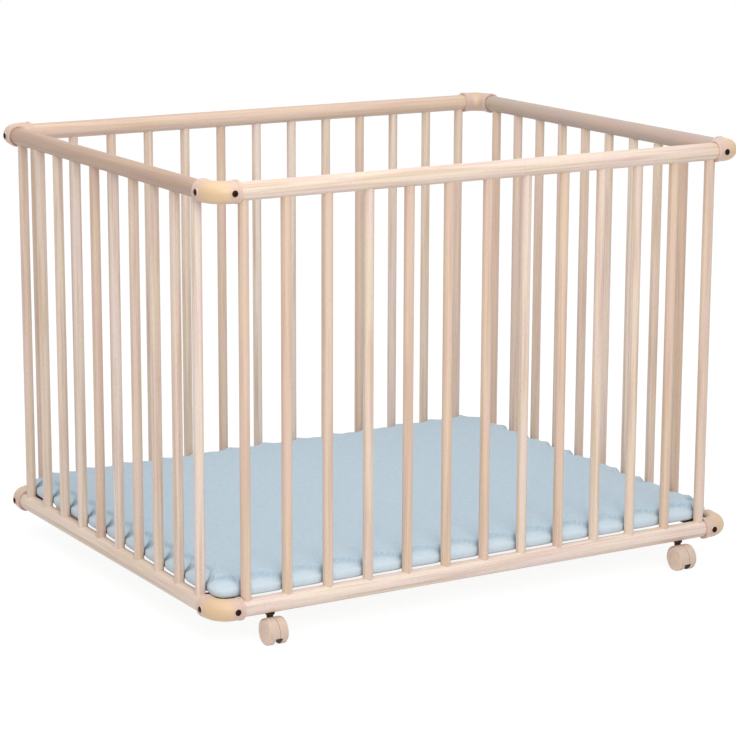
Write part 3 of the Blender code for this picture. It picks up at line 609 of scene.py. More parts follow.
# %% Nylon of the elbows
# Straw-yellow nylon, glossier than the wood. Over the sockets the wall is so thin that the pale wood shows
# through, so the colour turns paler and pinker towards the mouths. The attribute `sleeve` says where.
ELBOW_NYLON, tree, shader = new_material(
    "nylon_moulded_straw", 0.36, IOR=1.53, Subsurface_Weight=0.12, Subsurface_Scale=2.0 * MM
)
shader.inputs["Subsurface Radius"].default_value = (1.0, 0.7, 0.45)
sleeve = add(tree, "ShaderNodeAttribute", attribute_name="sleeve").outputs["Fac"]
ramp = add(tree, "ShaderNodeValToRGB", {"Fac": sleeve})
nylon = coloured(ramp, (0.0, "E4C39D"), (0.5, "E1C2A8"), (1.0, "DCC1B5"))
place = add(tree, "ShaderNodeTexCoord").outputs["Object"]
# The melt cools unevenly, which leaves clouds of tone about 12 mm across.
clouds = add(tree, "ShaderNodeTexNoise", {"Vector": place, "Scale": 80.0, "Detail": 2.0})
cloud_share = add(tree, "ShaderNodeMath", {0: clouds.outputs["Fac"], 1: 0.35}, operation="MULTIPLY")
cloud_mix = {0: cloud_share.outputs[0], 6: nylon, 7: linear("E2BE92")}
clouded = add(tree, "ShaderNodeMix", cloud_mix, data_type="RGBA")
tree.links.new(clouded.outputs[2], shader.inputs["Base Color"])
# The mould was spark-eroded, with a grain of 0.3 mm drawn at 0.8 mm so that it shows.
skin = add(tree, "ShaderNodeTexNoise", {"Vector": place, "Scale": 1250.0, "Detail": 1.0})
bump = add(tree, "ShaderNodeBump", {"Height": skin.outputs["Fac"], "Strength": 0.15, "Distance": 0.05 * MM})
tree.links.new(bump.outputs[0], shader.inputs["Normal"])
print("elbow nylon:", len(tree.nodes), "nodes")

# %% [markdown]
# The loft is built for a corner at the origin with one leg along X and one along Y, so that a single mesh
# serves all eight corners. First come the sizes that the fixed boxes can't tell, and the outline of one
# leg.

# %% Outline of a leg
ELBOW_RADIUS = 17 * MM
ELBOW_BEND = 26 * MM  # radius of the bend's centreline
RIM_RADIUS, RIM_LENGTH = 17.8 * MM, 5.5 * MM
SOCKET_RADIUS = RAIL_RADIUS + GAP
SOCKET_FLOOR = SHORT_RAIL_X - LONG_RAIL_END - GAP
ELBOW_LEG = SOCKET_FLOOR + GAP + 20.2 * MM
BOSS_FACE = 17.9 * MM
BOSS_RADIUS = 6.5 * MM
RECESS_DEPTH = 1.6 * MM
HEAD_RADIUS, HEAD_HEIGHT = 4.8 * MM, 2.6 * MM
PARTING_DEPTH = 0.12 * MM  # of the line that the two halves of the mould leave

leg_profile = eased(
    [
        (1.0 * MM, SOCKET_FLOOR),
        (SOCKET_RADIUS, SOCKET_FLOOR),
        (SOCKET_RADIUS, ELBOW_LEG),
        (RIM_RADIUS, ELBOW_LEG),
        (RIM_RADIUS, ELBOW_LEG - RIM_LENGTH),
        (ELBOW_RADIUS, ELBOW_LEG - RIM_LENGTH),
        (ELBOW_RADIUS, ELBOW_BEND),
    ],
    (0, 0.8, 0.6, 0.8, 0.25, 0.25, 0),
)
print("leg:", round(ELBOW_LEG / MM, 1), "mm from the corner to the mouth")

# %% [markdown]
# The mould opens in a level plane, which leaves a hair-thin line round the outside. It is made as a shallow
# groove: of three points close together on every outer ring, the middle one is sunk.

# %% Elbow loft
# Points round a ring. Three of them stand close together at the mould's parting line, inside and outside.
PARTING = 0.01
ring_angles = [2 * math.pi * i / 64 for i in range(64)]
ring_angles += [centre + step for centre in (0, math.pi) for step in (-PARTING, PARTING)]
ring_angles = sorted(angle % (2 * math.pi) for angle in ring_angles)


def leg_ring(radius, along, line_depth):
    """A ring round the X leg. Its points at the parting plane sink by line_depth."""
    ring = []
    for angle in ring_angles:
        sunk = line_depth if min(angle % math.pi, -angle % math.pi) < 1e-6 else 0.0
        r = radius - sunk
        ring.append(Vector((along, -r * math.cos(angle), r * math.sin(angle))))
    return ring


leg = [leg_ring(r, along, PARTING_DEPTH if r > SOCKET_RADIUS + MM else 0.0) for r, along in leg_profile]
other_leg = [[Vector((p.y, p.x, p.z)) for p in ring] for ring in reversed(leg)]
BEND_STEPS = 20
bend_centre = Vector((ELBOW_BEND, ELBOW_BEND, 0))
bend_start = leg_ring(ELBOW_RADIUS, ELBOW_BEND, PARTING_DEPTH)
bend = []
for i in range(1, BEND_STEPS):
    turn = Matrix.Rotation(-QUARTER * i / BEND_STEPS, 3, "Z")
    bend.append([turn @ (place - bend_centre) + bend_centre for place in bend_start])
elbow = lofted("elbow", leg + bend + other_leg)
print("elbow loft:", len(elbow.polygons), "faces")

# %% [markdown]
# Each bolt boss is a short turned cylinder that is joined to the sleeve, so its foot disappears in the
# round wall. The seat of the bolt, a recess for the head over a hole for the shank, is then cut through
# both.

# %% Bosses and bolt seats
boss_profile = eased(
    [(1 * MM, 6 * MM), (BOSS_RADIUS, 6 * MM), (BOSS_RADIUS, BOSS_FACE), (1 * MM, BOSS_FACE)], (0, 0, 0.4, 0)
)
boss = turned("boss", boss_profile, 48)
seat_profile = [
    (0.5 * MM, 2 * MM),
    (SHANK_RADIUS + GAP, 2 * MM),
    (SHANK_RADIUS + GAP, BOSS_FACE - RECESS_DEPTH),
    (HEAD_RADIUS + GAP, BOSS_FACE - RECESS_DEPTH),
    (HEAD_RADIUS + GAP, BOSS_FACE + 5 * MM),
    (0.5 * MM, BOSS_FACE + 5 * MM),
]
seat = turned("seat", seat_profile, 32)
FACE_FRONT, FACE_LEFT = Matrix.Rotation(QUARTER, 4, "X"), Matrix.Rotation(-QUARTER, 4, "Y")
ON_LEGS = (
    Matrix.Translation((BOLT_PLACE, 0, 0)) @ FACE_FRONT,
    Matrix.Translation((0, BOLT_PLACE, 0)) @ FACE_LEFT,
)


def on_both_legs(mesh):
    """Two copies of a mesh made about Z, one for each leg, facing outwards."""
    copies = [mesh.copy() for _ in ON_LEGS]
    for copy, matrix in zip(copies, ON_LEGS):
        copy.transform(matrix)
    return copies


elbow = combined(elbow, on_both_legs(boss), "UNION")
elbow = combined(elbow, on_both_legs(seat), "DIFFERENCE")
THICK_UNTIL, THINNING = 10 * MM, 17 * MM  # the wall thins out along this length of a leg
along_leg = point_places(elbow)[:, :2].max(axis=1)
fill(elbow, "sleeve", "FLOAT", "POINT", np.clip((along_leg - THICK_UNTIL) / THINNING, 0, 1))
print("elbow with bosses and seats:", len(elbow.polygons), "faces")

# %% [markdown]
# The same elbow serves every corner. A turn about Z brings its legs onto the rails: the four turns stand in
# `CORNERS`, and the two heights are those of the hand rails and the bottom rails.

# %% The eight elbows
for level, z in (("top", TOP_RAIL_Z), ("bottom", BOTTOM_RAIL_Z)):
    for corner, sx, sy, turn in CORNERS:
        node = f"{level}_connector_{corner}"
        where = upright(turn, (sx * SHORT_RAIL_X, sy * LONG_RAIL_Y, z))
        put(elbow.copy(), f"{node}_moulded", "pen", [node], ELBOW_NYLON, where)
print("elbows:", 2 * len(CORNERS))

# %% [markdown]
# ## Bolts
# Two button-headed bolts with a hexagon socket hold each elbow. They are browned steel, so each reads as a
# round dark dot with a thin bright edge. One bolt is modelled, and Geometry Nodes set it on a point for
# each hole, turned to face outwards. Each bolt is given a random turn about its own axis, as a spanner
# leaves them.

# %% Browned steel
BROWNED_STEEL, tree, shader = new_material("steel_browned", 0.38, metallic=0.85)
place = add(tree, "ShaderNodeTexCoord").outputs["Object"]
patches = add(tree, "ShaderNodeTexNoise", {"Vector": place, "Scale": 900.0, "Detail": 3.0})
ramp = add(tree, "ShaderNodeValToRGB", {"Fac": patches.outputs["Fac"]})
oxide = coloured(ramp, (0.3, "1B120C"), (0.7, "3A281C"))
tree.links.new(oxide, shader.inputs["Base Color"])
uneven = add(tree, "ShaderNodeMapRange", {0: patches.outputs["Fac"], 3: 0.28, 4: 0.5})
tree.links.new(uneven.outputs[0], shader.inputs["Roughness"])
print("browned steel:", len(tree.nodes), "nodes")

# %% [markdown]
# The bolt is one loft from the floor of the key socket up its six flats, over the flat top and the domed
# crown, under the head and down the shank. All rings have 36 points, which six flats divide evenly.

# %% One bolt
HEX_HALF = 1.5 * MM  # half the socket's width across flats
HEX_DEPTH = 1.3 * MM
BOLT_SIDES = 36
BOLT_ANGLES = [2 * math.pi * i / BOLT_SIDES for i in range(BOLT_SIDES)]
FLAT_TOP = 2.2 * MM  # radius of the flat round the key socket
CROWN_WIDTH, CROWN_DROP, CROWN_STEPS = 2.6 * MM, 1.5 * MM, 6


def hexagon_ring(z):
    """A hexagon with as many points as the bolt's round rings."""
    from_flats = [(a + math.pi / 6) % (math.pi / 3) - math.pi / 6 for a in BOLT_ANGLES]
    return [polar(HEX_HALF / math.cos(f), a, z) for a, f in zip(BOLT_ANGLES, from_flats)]


head_profile = [(FLAT_TOP, HEAD_HEIGHT)]
for i in range(1, CROWN_STEPS + 1):
    angle = QUARTER * i / CROWN_STEPS
    drop = CROWN_DROP * (1 - math.cos(angle))
    head_profile.append((FLAT_TOP + CROWN_WIDTH * math.sin(angle), HEAD_HEIGHT - drop))
head_profile += [(HEAD_RADIUS, 0.15 * MM), (HEAD_RADIUS - 0.15 * MM, 0), (SHANK_RADIUS, 0)]
head_profile += [(SHANK_RADIUS, 0.5 * MM - SHANK_LENGTH), (SHANK_RADIUS - 0.5 * MM, -SHANK_LENGTH)]
bolt_rings = [hexagon_ring(HEAD_HEIGHT - HEX_DEPTH), hexagon_ring(HEAD_HEIGHT)]
bolt_rings += [[polar(r, a, z) for a in BOLT_ANGLES] for r, z in head_profile]
BOLT = bpy.data.objects.new("bolt_form", lofted("bolt_form", bolt_rings))
print("bolt:", len(BOLT.data.polygons), "faces")

# %% [markdown]
# The sixteen seats lie on two grids of eight points: one for the bolts that face front and back, one for
# those that face left and right. Each point's own place, with one axis masked away, says which way its bolt
# faces.

# %% The tree that sets the bolts
BOLT_TREE, sizes = new_tree(
    "bolts_in_elbows",
    Bolt="Object",
    Rail_X="Float",
    Rail_Y="Float",
    Low_Rail="Float",
    High_Rail="Float",
    Bolt_Place="Float",
    Bolt_Seat="Float",
    Seed="Int",
    Finish="Material",
)
g = BOLT_TREE


def grid_of_points(tree, x, y, heights):
    """Points at every (±x, ±y) on each of the heights."""
    doubled = [add(tree, "ShaderNodeMath", {0: half, 1: 2.0}, operation="MULTIPLY") for half in (x, y)]
    spans = {"Size X": doubled[0].outputs[0], "Size Y": doubled[1].outputs[0]}
    flat = add(tree, "GeometryNodeMeshGrid", {**spans, "Vertices X": 2, "Vertices Y": 2})
    every = add(tree, "GeometryNodeJoinGeometry")
    for height in heights:
        up = add(tree, "ShaderNodeCombineXYZ", {"Z": height})
        moves = {"Geometry": flat.outputs[0], "Translation": up.outputs[0]}
        lifted = add(tree, "GeometryNodeTransform", moves)
        tree.links.new(lifted.outputs[0], every.inputs[0])
    return every.outputs[0]


position = add(g, "GeometryNodeInputPosition").outputs[0]
any_turn = {"Min": (0, 0, -math.pi), "Max": (0, 0, math.pi), "Seed": sizes["Seed"]}
spin = add(g, "FunctionNodeRandomValue", any_turn, data_type="FLOAT_VECTOR")
rails = (sizes["Rail X"], sizes["Rail Y"])
inward, outward = sizes["Bolt Place"], sizes["Bolt Seat"]
drawn_in = [add(g, "ShaderNodeMath", {0: r, 1: inward}, operation="SUBTRACT").outputs[0] for r in rails]
set_out = [add(g, "ShaderNodeMath", {0: r, 1: outward}).outputs[0] for r in rails]
heights = (sizes["Low Rail"], sizes["High Rail"])
bolt = add(g, "GeometryNodeObjectInfo", {"Object": sizes["Bolt"]}).outputs["Geometry"]
sets = add(g, "GeometryNodeJoinGeometry")
for x, y, mask in ((drawn_in[0], set_out[1], (0, 1, 0)), (set_out[0], drawn_in[1], (1, 0, 0))):
    points = grid_of_points(g, x, y, heights)
    facing = add(g, "ShaderNodeVectorMath", {0: position, 1: mask}, operation="MULTIPLY")
    aimed = add(g, "FunctionNodeAlignRotationToVector", {"Vector": facing.outputs[0]}, axis="Z")
    bolt_on_points = {"Points": points, "Instance": bolt, "Rotation": aimed.outputs[0]}
    placed = add(g, "GeometryNodeInstanceOnPoints", bolt_on_points)
    own_turn = {"Instances": placed.outputs[0], "Rotation": spin.outputs[0], "Local Space": True}
    spun = add(g, "GeometryNodeRotateInstances", own_turn)
    g.links.new(spun.outputs[0], sets.inputs[0])
end_tree(g, sets.outputs[0], sizes["Finish"])

# %% [markdown]
# The tree is run once with the real sizes. Its bolts become one plain mesh, which stands in for the sixteen
# bolts of the CAD. The single bolt has then done its work and is taken out again.

# %% The sixteen bolts
bolts = grown(
    BOLT_TREE,
    "bolts",
    Bolt=BOLT,
    Rail_X=SHORT_RAIL_X,
    Rail_Y=LONG_RAIL_Y,
    Low_Rail=BOTTOM_RAIL_Z,
    High_Rail=TOP_RAIL_Z,
    Bolt_Place=BOLT_PLACE,
    Bolt_Seat=BOSS_FACE - RECESS_DEPTH + GAP,
    Seed=7,
    Finish=BROWNED_STEEL,
)
bpy.data.objects.remove(BOLT, do_unlink=True)
bolt_nodes = [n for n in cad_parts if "_bolt_" in n]
piece = put(bolts, "connector_bolts_hexagon_socket", "pen", bolt_nodes, BROWNED_STEEL)
print(len(bolt_nodes), "bolts,", len(piece.data.polygons), "faces")

# %% [markdown]
# ## Castors
# A twin-wheel castor has a fixed stem, a hood that swivels on the stem's pin, and two wheels on an axle that
# the hood carries. The hood, its web and its neck are one nylon moulding. It is drawn in the castor's side
# view, as (out, up) from the axle, and then turned into place. The hood is a loft round the axle, with a fine
# parting groove down its middle. The web between the wheels is cored out at the front and the back, as thick
# mouldings are, so the opening between the wheels is dark, and painted shade darkens it further.

# %% Castor nylon
def castor_nylon(name, dark, pale):
    """Beige nylon, duller than the elbows. Two attributes tell where it is rubbed and where shade is painted.
    """
    material, tree, shader = new_material(name, 0.42, IOR=1.53)
    place = add(tree, "ShaderNodeTexCoord").outputs["Object"]
    clouds = add(tree, "ShaderNodeTexNoise", {"Vector": place, "Scale": 140.0, "Detail": 2.0})
    ramp = add(tree, "ShaderNodeValToRGB", {"Fac": clouds.outputs["Fac"]})
    beige = coloured(ramp, (0.3, dark), (0.7, pale))
    # The treads are rubbed matt and a touch grey by the floor.
    rubbed = add(tree, "ShaderNodeAttribute", attribute_name="rubbed").outputs["Fac"]
    scuffs = add(tree, "ShaderNodeTexNoise", {"Vector": place, "Scale": 700.0, "Detail": 3.0})
    rub_share = add(tree, "ShaderNodeMath", {0: rubbed, 1: scuffs.outputs["Fac"]}, operation="MULTIPLY")
    grey = {0: rub_share.outputs[0], 6: beige, 7: linear("CDBAAB")}
    worn = add(tree, "ShaderNodeMix", grey, data_type="RGBA")
    # Painted shade: where shade falls on the web and neck, on the wheels' inner flanks and, faintly, in the
    # parting groove, the colour turns black-brown.
    core = add(tree, "ShaderNodeAttribute", attribute_name="core").outputs["Fac"]
    shade_paint = {0: core, 6: worn.outputs[2], 7: linear("2A1E18")}
    shade_painted = add(tree, "ShaderNodeMix", shade_paint, data_type="RGBA")
    tree.links.new(shade_painted.outputs[2], shader.inputs["Base Color"])
    matt = add(tree, "ShaderNodeMapRange", {0: rub_share.outputs[0], 3: 0.40, 4: 0.70})
    tree.links.new(matt.outputs[0], shader.inputs["Roughness"])
    relief = {"Height": scuffs.outputs["Fac"], "Strength": 0.12, "Distance": 0.05 * MM}
    tree.links.new(add(tree, "ShaderNodeBump", relief).outputs[0], shader.inputs["Normal"])
    print(name, "has", len(tree.nodes), "nodes")
    return material


HOOD_NYLON = castor_nylon("nylon_moulded_beige", "D2BAA5", "DBC3B0")
WHEEL_NYLON = castor_nylon("nylon_moulded_pale_beige", "F3D6BF", "F8DFCB")

# %% [markdown]
# The stem, the axle and the brake lever are dark browned steel. A lathe leaves fine rings on it, here 0.4
# mm apart, so the bump is a wave along the piece and not noise.

# %% Turned steel
TURNED_STEEL, tree, shader = new_material("steel_turned_dark", 0.40, metallic=0.80)
place = add(tree, "ShaderNodeTexCoord").outputs["Object"]
patches = add(tree, "ShaderNodeTexNoise", {"Vector": place, "Scale": 500.0, "Detail": 3.0})
ramp = add(tree, "ShaderNodeValToRGB", {"Fac": patches.outputs["Fac"]})
oxide = coloured(ramp, (0.3, "33241A"), (0.7, "574133"))
tree.links.new(oxide, shader.inputs["Base Color"])
rings = {"Vector": place, "Scale": 800.0, "Distortion": 0.3}
lathe = add(tree, "ShaderNodeTexWave", rings, bands_direction="Z")
bump = add(tree, "ShaderNodeBump", {"Height": lathe.outputs["Fac"], "Strength": 0.2, "Distance": 0.04 * MM})
tree.links.new(bump.outputs[0], shader.inputs["Normal"])
print("turned steel:", len(tree.nodes), "nodes")

# %% [markdown]
# The places and the wheel's size are read from the CAD. In the side view the axle is the Z axis, so a hood
# that wraps the wheels is a matter of radii and angles. Two matrices turn the finished shapes into place.

# %% Side view of a castor
SWIVEL = {corner: middle(f"castor_stem_{corner}") for corner, *_ in CORNERS}
low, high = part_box("castor_wheel_front_left_inner")
WHEEL_RADIUS, WHEEL_WIDTH = (high.z - low.z) / 2, high.x - low.x
AXLE = Vector((0, middle("castor_wheel_front_left_inner").y - SWIVEL["front_left"].y, WHEEL_RADIUS))
WHEEL_OFFSET = abs(middle("castor_wheel_front_left_inner").x - SWIVEL["front_left"].x)
CASTOR_HALF = WHEEL_OFFSET + WHEEL_WIDTH / 2
SIDE_VIEW = Matrix(((0, 0, 1, 0), (-1, 0, 0, 0), (0, 1, 0, 0), (0, 0, 0, 1)))
AXLE_VIEW = Matrix.Translation(AXLE) @ SIDE_VIEW

HOOD_INNER, HOOD_OUTER = WHEEL_RADIUS + 0.6 * MM, WHEEL_RADIUS + 1.6 * MM
HOOD_HALF = CASTOR_HALF - 0.9 * MM  # the wheels' faces stand a little proud of the hood
HOOD_DROP = math.radians(16)  # how far the hood's ends come down below the axle
WEB_HALF = 5.2 * MM
WEB_FOOT = 13.5 * MM  # the web's lower edge, from the axle
PIN_RADIUS = 3.0 * MM
PIN_FOOT_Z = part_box("castor_stem_front_left")[0].z
AXLE_RADIUS = 2.5 * MM
print("wheels", round(2 * WHEEL_RADIUS / MM, 1), "mm across")
print("castor", round(2 * CASTOR_HALF / MM, 1), "mm wide")


def sector(name, inner, outer, start, end, half, steps=12):
    """A block in the side view between two radii and two angles."""
    angles = spread(start, end - start, steps)
    outline = [(outer, a) for a in angles] + [(inner, a) for a in reversed(angles)]
    return lofted(name, [[polar(r, a, x) for r, a in outline] for x in (-half, half)])

# %% [markdown]
# The hood's cross-section is carried round the axle. It has a soft shoulder at each side and the parting
# groove in the middle. The web is a plate between the wheels, with its edges eased, and the neck a short
# round post.

# %% Hood, web and neck
SEAM_HALF, SEAM_DEPTH = 0.4 * MM, 0.5 * MM  # the parting groove
SHOULDER, SHOULDER_DROP = 2.6 * MM, 0.6 * MM  # how far the outside falls towards the hood's faces
half_section = [
    (HOOD_INNER, 0.0),
    (HOOD_INNER, HOOD_HALF),
    (HOOD_OUTER - SHOULDER_DROP, HOOD_HALF),
    (HOOD_OUTER, HOOD_HALF - SHOULDER),
    (HOOD_OUTER, SEAM_HALF),
    (HOOD_OUTER - SEAM_DEPTH, 0.0),
]
half_section = eased(half_section, (0, 0.1, 0.12, 2.0, 0.1, 0), 3)
section = half_section + [(r, -across) for r, across in reversed(half_section[1:-1])]
start, end = -HOOD_DROP, math.pi + HOOD_DROP
hood_angles = spread(start, end - start, 56)
hood = lofted("hood", [[polar(r, a, x) for r, x in section] for a in hood_angles])

# The web runs along the hood's inside, 0.6 mm sunk in it, and back below the axle.
web_outline = [(HOOD_INNER + 0.6 * MM, a) for a in spread(start, end - start, 48)]
web_outline += [(WEB_FOOT, a) for a in spread(end, 2 * math.pi + start - end, 24)]
EASE = 0.5 * MM
layers = ((-WEB_HALF, EASE), (EASE - WEB_HALF, 0), (WEB_HALF - EASE, 0), (WEB_HALF, EASE))
web = lofted("web", [[polar(r - ease, a, x) for r, a in web_outline] for x, ease in layers])
COLLAR_LOW, COLLAR_HIGH, COLLAR_RADIUS = 42.1 * MM, 46.2 * MM, 7.6 * MM
NECK_TOP_Z = COLLAR_LOW - GAP
neck_profile = eased(
    [(0.4 * MM, PIN_FOOT_Z), (WEB_HALF, PIN_FOOT_Z), (WEB_HALF, NECK_TOP_Z), (0.4 * MM, NECK_TOP_Z)],
    (0, 0, 0.5, 0),
)
neck = turned("neck", neck_profile, 40)
neck.transform(AXLE_VIEW.inverted())
print("hood loft:", len(hood.polygons), "faces, web:", len(web.polygons), "faces")

# %% [markdown]
# The web and the neck are joined to the hood first. Then the two pockets at the front and the back, the
# bore for the stem's pin and the bore for the axle are cut through all of it.

# %% Pockets and bores
POCKET_INNER, POCKET_OUTER, POCKET_HALF = 5.5 * MM, 19.2 * MM, 4.3 * MM
POCKET_LOW, POCKET_HIGH = math.radians(-80), math.radians(8)
pockets = [
    sector("pocket", POCKET_INNER, POCKET_OUTER, first, last, POCKET_HALF)
    for first, last in ((POCKET_LOW, POCKET_HIGH), (math.pi - POCKET_LOW, math.pi - POCKET_HIGH))
]
BORE_TOP = 50 * MM  # above the neck
pin_bore_profile = [
    (0.4 * MM, PIN_FOOT_Z - GAP),
    (PIN_RADIUS + GAP, PIN_FOOT_Z - GAP),
    (PIN_RADIUS + GAP, BORE_TOP),
    (0.4 * MM, BORE_TOP),
]
pin_bore = turned("pin_bore", pin_bore_profile, 32)
pin_bore.transform(AXLE_VIEW.inverted())


def cross_rod(name, radius, half, out=0.0, up=0.0, sides=32):
    """A rod across the castor through a point of its side view."""
    profile = [(0.2 * MM, -half), (radius, -half), (radius, half), (0.2 * MM, half)]
    rod = turned(name, profile, sides)
    rod.transform(Matrix.Translation((out, up, 0)))
    return rod


BORE_HALF = 9 * MM  # half the length of a bore across, more than the web's
axle_bore = cross_rod("axle_bore", AXLE_RADIUS + GAP, BORE_HALF)
hood = combined(hood, [web, neck], "UNION")
hood = combined(hood, pockets, "DIFFERENCE")
hood = combined(hood, [pin_bore, axle_bore], "DIFFERENCE")
print("hood:", len(hood.polygons), "faces")


def mark_core(form):
    """Paints shade on the web and the neck, and faintly in the parting groove."""
    out, up, across = faces_of(form)[0].T
    radius, across = np.hypot(out, up), np.abs(across)
    web = (radius < HOOD_INNER - 0.1 * MM) & (across < WEB_HALF + 0.1 * MM)
    neck = radius > HOOD_OUTER + 0.05 * MM
    groove = (radius > HOOD_INNER + 0.1 * MM) & (across < SEAM_HALF + 0.05 * MM)
    fill(form, "core", "FLOAT", "FACE", np.where(web | neck, 1.0, np.where(groove, 0.45, 0.0)))

# %% [markdown]
# The two back castors also carry a foot brake: a lever on a pivot in the web, with a ribbed pedal outside
# the hood. Its sizes come first, and small helpers for plates and for places beside the pivot.

# %% Brake sizes
BRAKE_PIVOT = (12.468 * MM, 7.974 * MM)  # from the axle, out and up
BRAKE_REACH = 21.5 * MM
BRAKE_RISE, BRAKE_TRAVEL = math.radians(28), math.radians(16)
HUB_RADIUS, ARM_HALF, ARM_WIDTH = 3.2 * MM, 1.5 * MM, 5.0 * MM
PEDAL_LENGTH, PEDAL_HALF, PEDAL_THICK = 9.5 * MM, 7.5 * MM, 3.8 * MM
TRUNNION_RADIUS = 1.4 * MM


def inset(outline, distance):
    """A closed outline, anticlockwise, moved inwards by a small distance."""
    made = []
    places = [Vector(corner) for corner in outline]
    for i, here in enumerate(places):
        before, after = places[i - 1], places[(i + 1) % len(places)]
        a, b = (here - before).normalized(), (after - here).normalized()
        normal = Vector((-(a.y + b.y), a.x + b.x)).normalized()
        made.append(here + normal * distance / max(0.5, normal.dot(Vector((-a.y, a.x)))))
    return made


def plate(name, outline, half, ease):
    """An outline given a thickness, its edges eased."""
    layers = ((-half, ease), (ease - half, 0.0), (half - ease, 0.0), (half, ease))
    return lofted(name, [[(*p, z) for p in inset(outline, d)] for z, d in layers])


def arm_outline(radius, half_arm, reach):
    """A round hub with a straight arm along X."""
    flare = math.asin(half_arm / radius)
    hub = spread(flare, 2 * math.pi - 2 * flare, 28)
    outline = [(radius * math.cos(a), radius * math.sin(a)) for a in hub]
    return outline + [(reach, -half_arm), (reach, half_arm)]


def beside_pivot(angle, distance, offset):
    """A point at a distance from the pivot along an angle, and offset to the side."""
    out = BRAKE_PIVOT[0] + distance * math.cos(angle) - offset * math.sin(angle)
    return out, BRAKE_PIVOT[1] + distance * math.sin(angle) + offset * math.cos(angle)


print("pedal travels", round(math.degrees(BRAKE_TRAVEL)), "degrees")

# %% [markdown]
# The slot is the arm's own outline, swept over the whole travel and made larger by the gap: a round pocket
# for the hub, opening as a wedge towards the pedal. A hole takes the trunnions that the lever turns on.

# %% Brake slot
SLOT_REACH = 40 * MM  # well out of the hood
low_angle, high_angle = BRAKE_RISE - BRAKE_TRAVEL, BRAKE_RISE
slot_radius, slot_half = HUB_RADIUS + GAP, ARM_HALF + GAP
flare = math.asin(slot_half / slot_radius)
first, last = high_angle + flare, 2 * math.pi + low_angle - flare
slot_outline = [
    (BRAKE_PIVOT[0] + slot_radius * math.cos(a), BRAKE_PIVOT[1] + slot_radius * math.sin(a))
    for a in spread(first, last - first, 28)
]
slot_outline.append(beside_pivot(low_angle, SLOT_REACH, -slot_half))
slot_outline.append(beside_pivot(high_angle, SLOT_REACH, slot_half))
slot_half_width = ARM_WIDTH / 2 + GAP
slot = lofted("slot", [[(*p, x) for p in slot_outline] for x in (-slot_half_width, slot_half_width)])
hole_radius = TRUNNION_RADIUS + GAP
trunnion_hole = cross_rod("trunnion_hole", hole_radius, BORE_HALF, *BRAKE_PIVOT, sides=20)
braked_hood = combined(hood.copy(), [slot, trunnion_hole], "DIFFERENCE")
print("hood with a slot:", len(braked_hood.polygons), "faces")

# %% [markdown]
# The lever is modelled about its pivot: an arm with a round hub, two trunnions, and a pedal with rounded
# corners across its end.

# %% Lever and pedal
arm = plate("arm", arm_outline(HUB_RADIUS, ARM_HALF, BRAKE_REACH - 1 * MM), ARM_WIDTH / 2, 0.5 * MM)
trunnions = cross_rod("trunnions", TRUNNION_RADIUS, WEB_HALF, sides=20)
pedal_low, pedal_high = BRAKE_REACH - PEDAL_LENGTH, BRAKE_REACH + PEDAL_THICK / 2
pedal_middle, pedal_span = (pedal_low + pedal_high) / 2, (pedal_high - pedal_low) / 2
PEDAL_CORNER = 2.5 * MM
pedal_outline = [
    (
        pedal_middle + sx * (pedal_span - PEDAL_CORNER) + PEDAL_CORNER * math.cos(a + quarter * QUARTER),
        sy * (PEDAL_HALF - PEDAL_CORNER) + PEDAL_CORNER * math.sin(a + quarter * QUARTER),
    )
    for quarter, (sx, sy) in enumerate(((1, 1), (-1, 1), (-1, -1), (1, -1)))
    for a in spread(0, QUARTER, 6)
]
RIB_HEIGHT = 0.6 * MM
pedal = plate("pedal", pedal_outline, (PEDAL_THICK - RIB_HEIGHT) / 2, 0.5 * MM)
# The pedal's outline lies in its own plane: it is turned so that its thickness points up from the arm.
FACE_UP = Matrix(((1, 0, 0, 0), (0, 0, 1, 0), (0, -1, 0, 0), (0, 0, 0, 1)))
pedal.transform(Matrix.Translation((0, -RIB_HEIGHT / 2, 0)) @ FACE_UP)
print("arm:", len(arm.polygons), "faces, pedal:", len(pedal.polygons), "faces")

# %% [markdown]
# Four round ribs across the pedal give the foot a grip. They are a short row of rods, so the same two
# helpers that made bars and plugs make them, in a small tree of their own.

# %% Ribs on the pedal
RIB_TREE, sizes = new_tree(
    "pedal_ribs", Ribs="Int", Half_Row="Float", Rib_Radius="Float", Rib_Length="Float", Finish="Material"
)
rib = round_rod(RIB_TREE, sizes["Rib Radius"], sizes["Rib Length"], 12)
end_tree(RIB_TREE, on_row(RIB_TREE, rib, sizes["Ribs"], sizes["Half Row"]), sizes["Finish"])
RIB_RADIUS = 0.7 * MM
ribs = grown(
    RIB_TREE,
    "ribs",
    Ribs=4,
    Half_Row=3.3 * MM,
    Rib_Radius=RIB_RADIUS,
    Rib_Length=2 * PEDAL_HALF - 3 * MM,
    Finish=TURNED_STEEL,
)
ribs.transform(Matrix.Translation((pedal_middle, PEDAL_THICK / 2 - RIB_RADIUS, 0)))
lever = combined(arm, [pedal, trunnions, ribs], "UNION")
lever.transform(SIDE_VIEW @ Matrix.Rotation(BRAKE_RISE, 4, "Z"))
print("lever:", len(lever.polygons), "faces")
